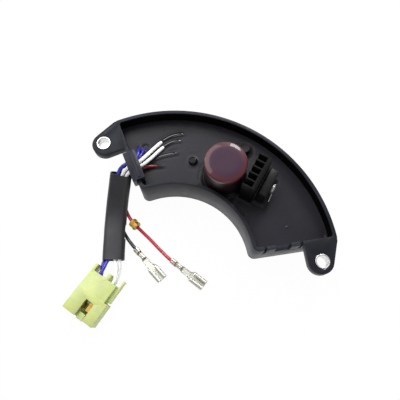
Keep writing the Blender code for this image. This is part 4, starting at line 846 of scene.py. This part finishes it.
# %% [markdown]
# ## The heat sink and its transistor
# The comb is extruded aluminium, anodised black: matt, with the fine lines of the die running up it. The
# transistor is moulded epoxy, and its pad is a dark silicone sheet. Each is the CAD piece again with its edges
# broken, since bare knife edges are the first thing that gives a model away.

# %% Anodised comb, epoxy package, pad and screw
ANODISED = Finish("black anodising", (0.0025, 0.0025, 0.0028), 0.50)
ANODISED.set("Specular IOR Level", 0.10)
die_lines = ANODISED.grain(0.0006, 2.0, stretch=(1.0, 1.0, 0.02))
ANODISED.tint(ANODISED.window(die_lines, 0.4, 0.7), (0.0055, 0.0055, 0.0058))
ANODISED.roughen(0.005, 3.0, 0.2, 0.42)
ANODISED.raise_surface(ANODISED.grain(0.0004, 2.0, stretch=(1.0, 1.0, 0.02)), 0.00002)
finish_piece(softened_copy("heat_sink", "comb_heat_sink", 0.13 * MM), ANODISED, "heat_sink", slot="black_anodised")

EPOXY = Finish("black epoxy", (0.0060, 0.0060, 0.0064), 0.34)
EPOXY.set("Specular IOR Level", 0.22)
EPOXY.mottle(0.004, 3.0, 0.4, 0.7, (0.0110, 0.0110, 0.0115))
EPOXY.roughen(0.0009, 4.0, 0.25, 0.24)
EPOXY.raise_surface(EPOXY.grain(0.0002, 2.0), 0.00001)
finish_piece(softened_copy("power_transistor", "transistor_package", 0.25 * MM), EPOXY, "power_transistor",
             slot="black_epoxy")

PAD = Finish("dark silicone pad", (0.016, 0.016, 0.018), 0.75)
PAD.mottle(0.0007, 2.0, 0.4, 0.6, (0.024, 0.024, 0.027))
PAD.raise_surface(PAD.grain(0.0003, 2.0), 0.00002)
paint(nodes["insulating_pad"], PAD)
DULL_STEEL = plated_steel("dull plated steel", (0.50, 0.49, 0.47), 0.32)
finish_piece(softened_copy("transistor_screw", "package_screw", 0.14 * MM), DULL_STEEL, "transistor_screw",
             slot="plated_steel")

# A painted highlight: the bright line in the resin beside the package is made as a strip of bright metal standing
# in the resin.
BRIGHT = plated_steel("bright highlight strip", (0.86, 0.85, 0.80), 0.22)
highlight_strip = begin(bpy.ops.mesh.primitive_cube_add, "painted_highlight_strip", size=1.0)
highlight_strip.scale = (0.45 * MM, 10.6 * MM, 2.4 * MM)
highlight_strip.location = (26.6 * MM, 4.6 * MM, LEVEL)
highlight_strip.rotation_euler = (0.0, 0.0, math.radians(5.2))
modify(highlight_strip, "BEVEL", width=0.12, segments=2)  # a share of each side, because the cube's scale isn't applied yet
finish_piece(highlight_strip, BRIGHT, slot="plated_steel")

# %% [markdown]
# ## The sleeve round the wires
# A soft vinyl tube holds the six wires together. It has been flattened by them, and its mouths stay open. It is
# made from one section, carried along its route by code, because no primitive follows a curve in space: the
# section stays level and bears long soft folds. A wall is then given to it, and a slit is cut where the red and the
# black wire leave.

# %% Vinyl sleeve
VINYL = Finish("grey-black vinyl", (0.0170, 0.0170, 0.0200), 0.46)
VINYL.mottle(0.016, 3.0, 0.35, 0.7, (0.0260, 0.0260, 0.0300))
VINYL.roughen(0.004, 4.0, 0.22, 0.36)
VINYL.raise_surface(VINYL.grain(0.0006, 3.0) + VINYL.grain(0.005, 2.0) * 1.5, 0.00005)

SLEEVE_WIDTH, SLEEVE_HEIGHT, SLEEVE_WALL = 12.0 * MM, 6.4 * MM, 0.6 * MM
# Each slit's place, heading in degrees and top, in millimetres.
SLITS = {"red": ((-39.4, -39.84), -63, 5.0), "black": ((-33.7, -51.14), -61, 4.4)}


def sweep_sleeve():
    around = 56
    line = LINES["sleeve"]
    tube = begin(bpy.ops.mesh.primitive_cylinder_add, "vinyl_sleeve", vertices=around, radius=1.0, depth=1.0,
                 end_fill_type="NOTHING")
    mesh = tube.data
    shape = bmesh.new()
    round_part, flat_part = SLEEVE_HEIGHT / 2, (SLEEVE_WIDTH - SLEEVE_HEIGHT) / 2
    rings = []
    for i, place in enumerate(line):
        along = (line[min(i + 1, len(line) - 1)] - line[max(i - 1, 0)]).normalized()
        side = Vector((0, 0, 1)).cross(along).normalized()
        up = along.cross(side)
        share = i / (len(line) - 1)
        ring = []
        for j in range(around):
            turn = 2 * math.pi * j / around
            fold = 0.10 * math.sin(5 * turn + 7 * share) * math.sin(9 * share + 2 * turn)
            fold += 0.08 * math.sin(3 * turn - 19 * share)
            reach = round_part - (0.10 + 0.10 * fold) * MM
            across = reach * math.cos(turn) + flat_part * max(-1.0, min(1.0, 2.2 * math.cos(turn)))
            ring.append(shape.verts.new(place + side * across + up * (reach * math.sin(turn))))
        rings.append(ring)
    for ring, after in zip(rings, rings[1:]):
        for j in range(around):
            k = (j + 1) % around
            shape.faces.new((ring[j], ring[k], after[k], after[j]))
    shape.to_mesh(mesh)
    shape.free()
    with editing(tube):
        face_outwards()
    modify(tube, "SOLIDIFY", thickness=SLEEVE_WALL, offset=-1.0)
    for name, ((x, y), turn, top) in SLITS.items():
        cutter = begin(bpy.ops.mesh.primitive_cube_add, name + "_slit", size=1.0)
        cutter.scale = (8.0 * MM, 7.8 * MM, (top + 1.0) * MM)
        put(cutter, (x * MM, y * MM, 0.0), turn, Matrix.Translation((0.0, 0.7 * MM, (top - 1.0) / 2 * MM)),
            Matrix.Diagonal((*cutter.scale, 1.0)))
        modify(tube, "BOOLEAN", object=cutter, operation="DIFFERENCE", solver="EXACT")
        bpy.data.objects.remove(cutter)
    return tube


sleeve = finish_piece(sweep_sleeve(), VINYL, "wire_sleeve", slot="grey_black_vinyl", angle=50.0)

# %% [markdown]
# ## The marker ring
# A short amber collar marks the red wire. It is moulded with a waist, and light goes a little way into it, which is
# what the subsurface weight is for.

# %% Amber marker
AMBER = Finish("amber nylon", (0.64, 0.34, 0.026), 0.24, coat=0.4)
AMBER.set("Subsurface Weight", 0.2)
AMBER.set("Subsurface Scale", 0.001)
AMBER.mottle(0.0021, 2.0, 0.48, 0.62, (0.22, 0.095, 0.012))
AMBER.roughen(0.001, 3.0, 0.2, 0.18)
AMBER.raise_surface(AMBER.grain(0.0008, 2.0), 0.00004)
MARKER_AT, MARKER_ALONG = Vector((-0.03080, -0.04444, 0.0026)), Vector((6.5, -2.0, 0.0))
marker = turned("amber_marker", [
    (radius * MM, height * MM) for radius, height in (
        (1.28, 2.3), (2.15, 2.3), (2.58, 1.9), (2.60, 0.8), (2.40, 0.3), (2.40, -0.3), (2.60, -0.8), (2.58, -1.9),
        (2.15, -2.3), (1.28, -2.3), (1.28, 2.3))], 14)
marker.matrix_world = Matrix.Translation(MARKER_AT) @ MARKER_ALONG.to_track_quat("Z", "Y").to_matrix().to_4x4()
bpy.context.view_layer.update()
finish_piece(marker, AMBER, "marker_ring", slot="amber_nylon", angle=24.0)

# %% [markdown]
# ## The spade terminals
# A spade terminal is one strip of tinned brass, stamped flat and rolled up along both edges: two wings grip the
# insulation, two grip the bare strands, a neck narrows, and the last part is rolled into the socket for a blade.
# So a flat grid is bent the same way. At each station along it, the middle stays flat for some width, and the
# rest rolls up at some radius through some angle. Solidify then gives the strip its thickness.

# %% Rolled terminals
TIN = plated_steel("tin plate", (0.74, 0.74, 0.66), 0.28)
COPPER = plated_steel("tinned copper strands", (0.66, 0.50, 0.36), 0.30, 0.00006)
# Station along the strip, flat half width, roll radius (all mm), and roll angle.
STATIONS = ((0.0, 0.25, 1.25, 3.1), (2.7, 0.25, 1.25, 3.1), (3.0, 0.80, 0.90, 0.7), (3.7, 0.80, 0.90, 0.7),
            (4.0, 0.20, 1.00, 3.2), (6.9, 0.20, 1.00, 3.2), (7.5, 1.00, 0.70, 0.9), (12.0, 1.10, 0.70, 0.8),
            (13.6, 1.60, 1.00, 1.3), (14.5, 1.75, 1.15, 3.9), (22.1, 1.75, 1.15, 3.9))
SHEET = 0.35 * MM


def roll_terminal(name, place, turn):
    strip = begin(bpy.ops.mesh.primitive_grid_add, name, x_subdivisions=140, y_subdivisions=64, size=1.0)
    mesh = strip.data
    stations = np.array(STATIONS)
    flat = points_of(mesh)
    x = (flat[:, 0] + 0.5) * stations[-1, 0]
    middle, radius, angle = (np.interp(x, stations[:, 0], stations[:, i]) for i in (1, 2, 3))
    reach = np.abs(flat[:, 1]) * 2 * (middle + radius * angle)
    turn_here = np.maximum(reach - middle, 0.0) / radius
    y = np.sign(flat[:, 1]) * np.where(reach < middle, reach, middle + radius * np.sin(turn_here))
    z = radius * (1 - np.cos(turn_here))
    mesh.vertices.foreach_set("co", (np.stack([x, y, z], axis=1) * MM).ravel())
    with editing(strip, "VERT"):
        face_outwards()
    modify(strip, "SOLIDIFY", thickness=SHEET, offset=0.0)
    modify(strip, "BEVEL", width=0.06 * MM, segments=1, limit_method="ANGLE", angle_limit=math.radians(60))
    put(strip, (*place, SHEET), turn)
    return strip


def lay_strands(name, place, turn):
    """Seven bare strands from the insulation's end into the wire grip."""
    strands = begin(bpy.ops.mesh.primitive_cylinder_add, name, vertices=12, radius=0.26 * MM, depth=4.6 * MM,
                    rotation=(0.0, math.pi / 2, 0.0), location=(4.9 * MM, 0.0, 1.35 * MM))
    with editing(strands):
        bpy.ops.mesh.select_all(action="SELECT")
        for i in range(6):
            spread = math.radians(60 * i)
            bpy.ops.mesh.duplicate()
            last = math.radians(60 * (i - 1))
            here = Vector((0.0, math.cos(spread), math.sin(spread)))
            before = Vector((0.0, math.cos(last), math.sin(last))) if i else Vector()
            bpy.ops.transform.translate(value=(here - before) * 0.54 * MM)
    bpy.ops.object.transform_apply(location=True, rotation=True, scale=True)
    put(strands, (*place, 0.0), turn)
    return finish_piece(strands, COPPER, slot="tin_plate")


TERMINALS = {}
for colour, place, turn in (("red", (-0.0034, -0.05144), -8.0), ("black", (-0.0234, -0.05564), -18.0)):
    terminal = finish_piece(roll_terminal(colour + "_terminal", place, turn), TIN, colour + "_lead_spade",
                            slot="tin_plate", angle=50.0)
    TERMINALS[colour] = [terminal, lay_strands(colour + "_strands", place, turn)]

# %% [markdown]
# ## The plug
# The plug is moulded in natural nylon, which is a pale yellow green and lets light some way in: its edges look
# paler than its faces. The CAD solid has its shroud, key slot, wire ways and side latch, so a copy with rounded
# edges carries the finish. Its shut front shows a raised key, which is added as a block. The brass contacts inside
# show through the slot.

# %% Natural nylon plug and brass contacts
NATURAL = Finish("natural nylon", (0.59, 0.675, 0.235), 0.38)
NATURAL.set("Subsurface Weight", 0.35)
NATURAL.set("Subsurface Scale", 0.0015)
NATURAL.mottle(0.007, 3.0, 0.3, 0.75, (0.53, 0.59, 0.255))
NATURAL.roughen(0.002, 4.0, 0.2, 0.28)
NATURAL.raise_surface(NATURAL.grain(0.0005, 3.0) + NATURAL.grain(0.004, 2.0) * 2.0, 0.00003)
plug = finish_piece(softened_copy("plug_housing", "plug_shell", 0.28 * MM), NATURAL, "plug_housing",
                    slot="pale_yellow_nylon")
key = begin(bpy.ops.mesh.primitive_cube_add, "plug_key", size=1.0)
key.scale = (3.2 * MM, 3.6 * MM, 7.0 * MM)
put(key, (-28.9 * MM, -99.84 * MM, 0.0), -5.0,
    Matrix.Translation((1.0 * MM, 1.1 * MM, 4.0 * MM)), Matrix.Diagonal((*key.scale, 1.0)))
finish_piece(key, NATURAL, slot="pale_yellow_nylon")
BRASS = plated_steel("brass", (0.60, 0.40, 0.10), 0.30)
for column in ("left", "right"):
    for row in ("lower", "upper"):
        paint(nodes[f"plug_contact_{column}_{row}"], BRASS)

# %% [markdown]
# ## What the resin hides
# The board and the parts that stand wholly in the resin are never seen until someone digs them out, but they are
# part of the model, so each keeps its CAD shape and gets the finish that it has on the bench: green solder mask
# over copper tracks, cement, lacquer, moulded epoxy and drawn aluminium.

# %% Finishes under the resin
LAMINATE = Finish("green laminate", (0.020, 0.150, 0.060), 0.38, coat=0.3)
track = LAMINATE.node("TexWave", {"wave_type": "BANDS", "bands_direction": "DIAGONAL"},
                      {"Vector": LAMINATE.node("TexCoord", output="Object"), "Scale": 90.0, "Distortion": 9.0,
                       "Detail": 1.0, "Detail Scale": 2.0}, output="Fac")
LAMINATE.tint(LAMINATE.window(track, 0.55, 0.60), (0.050, 0.260, 0.095))
LAMINATE.raise_surface(LAMINATE.window(track, 0.55, 0.60), 0.00004)


def moulded(name, colour, other, roughness, patch, depth, coat=0.0):
    """A hard matt or glossy part with patches of a second colour and a fine surface."""
    made = Finish(name, colour, roughness, coat=coat)
    made.mottle(patch, 3.0, 0.4, 0.65, other)
    made.roughen(patch / 3, 3.0, 0.2, roughness - 0.1)
    made.raise_surface(made.grain(patch / 6, 3.0), depth)
    return made


CEMENT = moulded("white cement", (0.74, 0.72, 0.66), (0.60, 0.58, 0.52), 0.85, 0.0012, 0.00008)
TAN = moulded("tan lacquer", (0.52, 0.36, 0.19), (0.42, 0.27, 0.13), 0.30, 0.003, 0.00002, coat=0.5)
TRIMMER_BLUE = moulded("trimmer blue", (0.020, 0.070, 0.38), (0.030, 0.100, 0.46), 0.40, 0.002, 0.00001)
DRAWN = plated_steel("drawn aluminium", (0.80, 0.80, 0.81), 0.34)
HIDDEN = {
    "circuit_board": LAMINATE, "power_resistor": CEMENT, "film_capacitor": TAN, "gate_resistor_1": TAN,
    "gate_resistor_2": TAN, "voltage_trimmer": TRIMMER_BLUE, "bridge_rectifier": EPOXY, "rectifier_diode_1": EPOXY,
    "rectifier_diode_2": EPOXY, "signal_transistor_1": EPOXY, "signal_transistor_2": EPOXY, "capacitor_can": DRAWN,
}
for node, finish in HIDDEN.items():
    paint(nodes[node], finish)
print("painted", len(HIDDEN), "hidden pieces")

# %% Where each wire leaves the resin, and its length
EXITS = {
    "blue_a": ((-0.0486, -0.0084, 0.0142), 0.094), "blue_b": ((-0.0461, -0.0080, 0.0137), 0.0935),
    "white_a": ((-0.0401, 0.0008, 0.0139), 0.116), "white_b": ((-0.0376, -0.0014, 0.0139), 0.110),
    "black": ((-0.0390, -0.0108, 0.0141), 0.0855), "red": ((-0.0344, -0.0125, 0.0138), 0.088),
}
ENDS = {"red": TERMINALS["red"] + [marker], "black": TERMINALS["black"] + [sleeve]}
for name, (exit_point, length) in EXITS.items():
    "fitting" if name in ENDS else "connector"
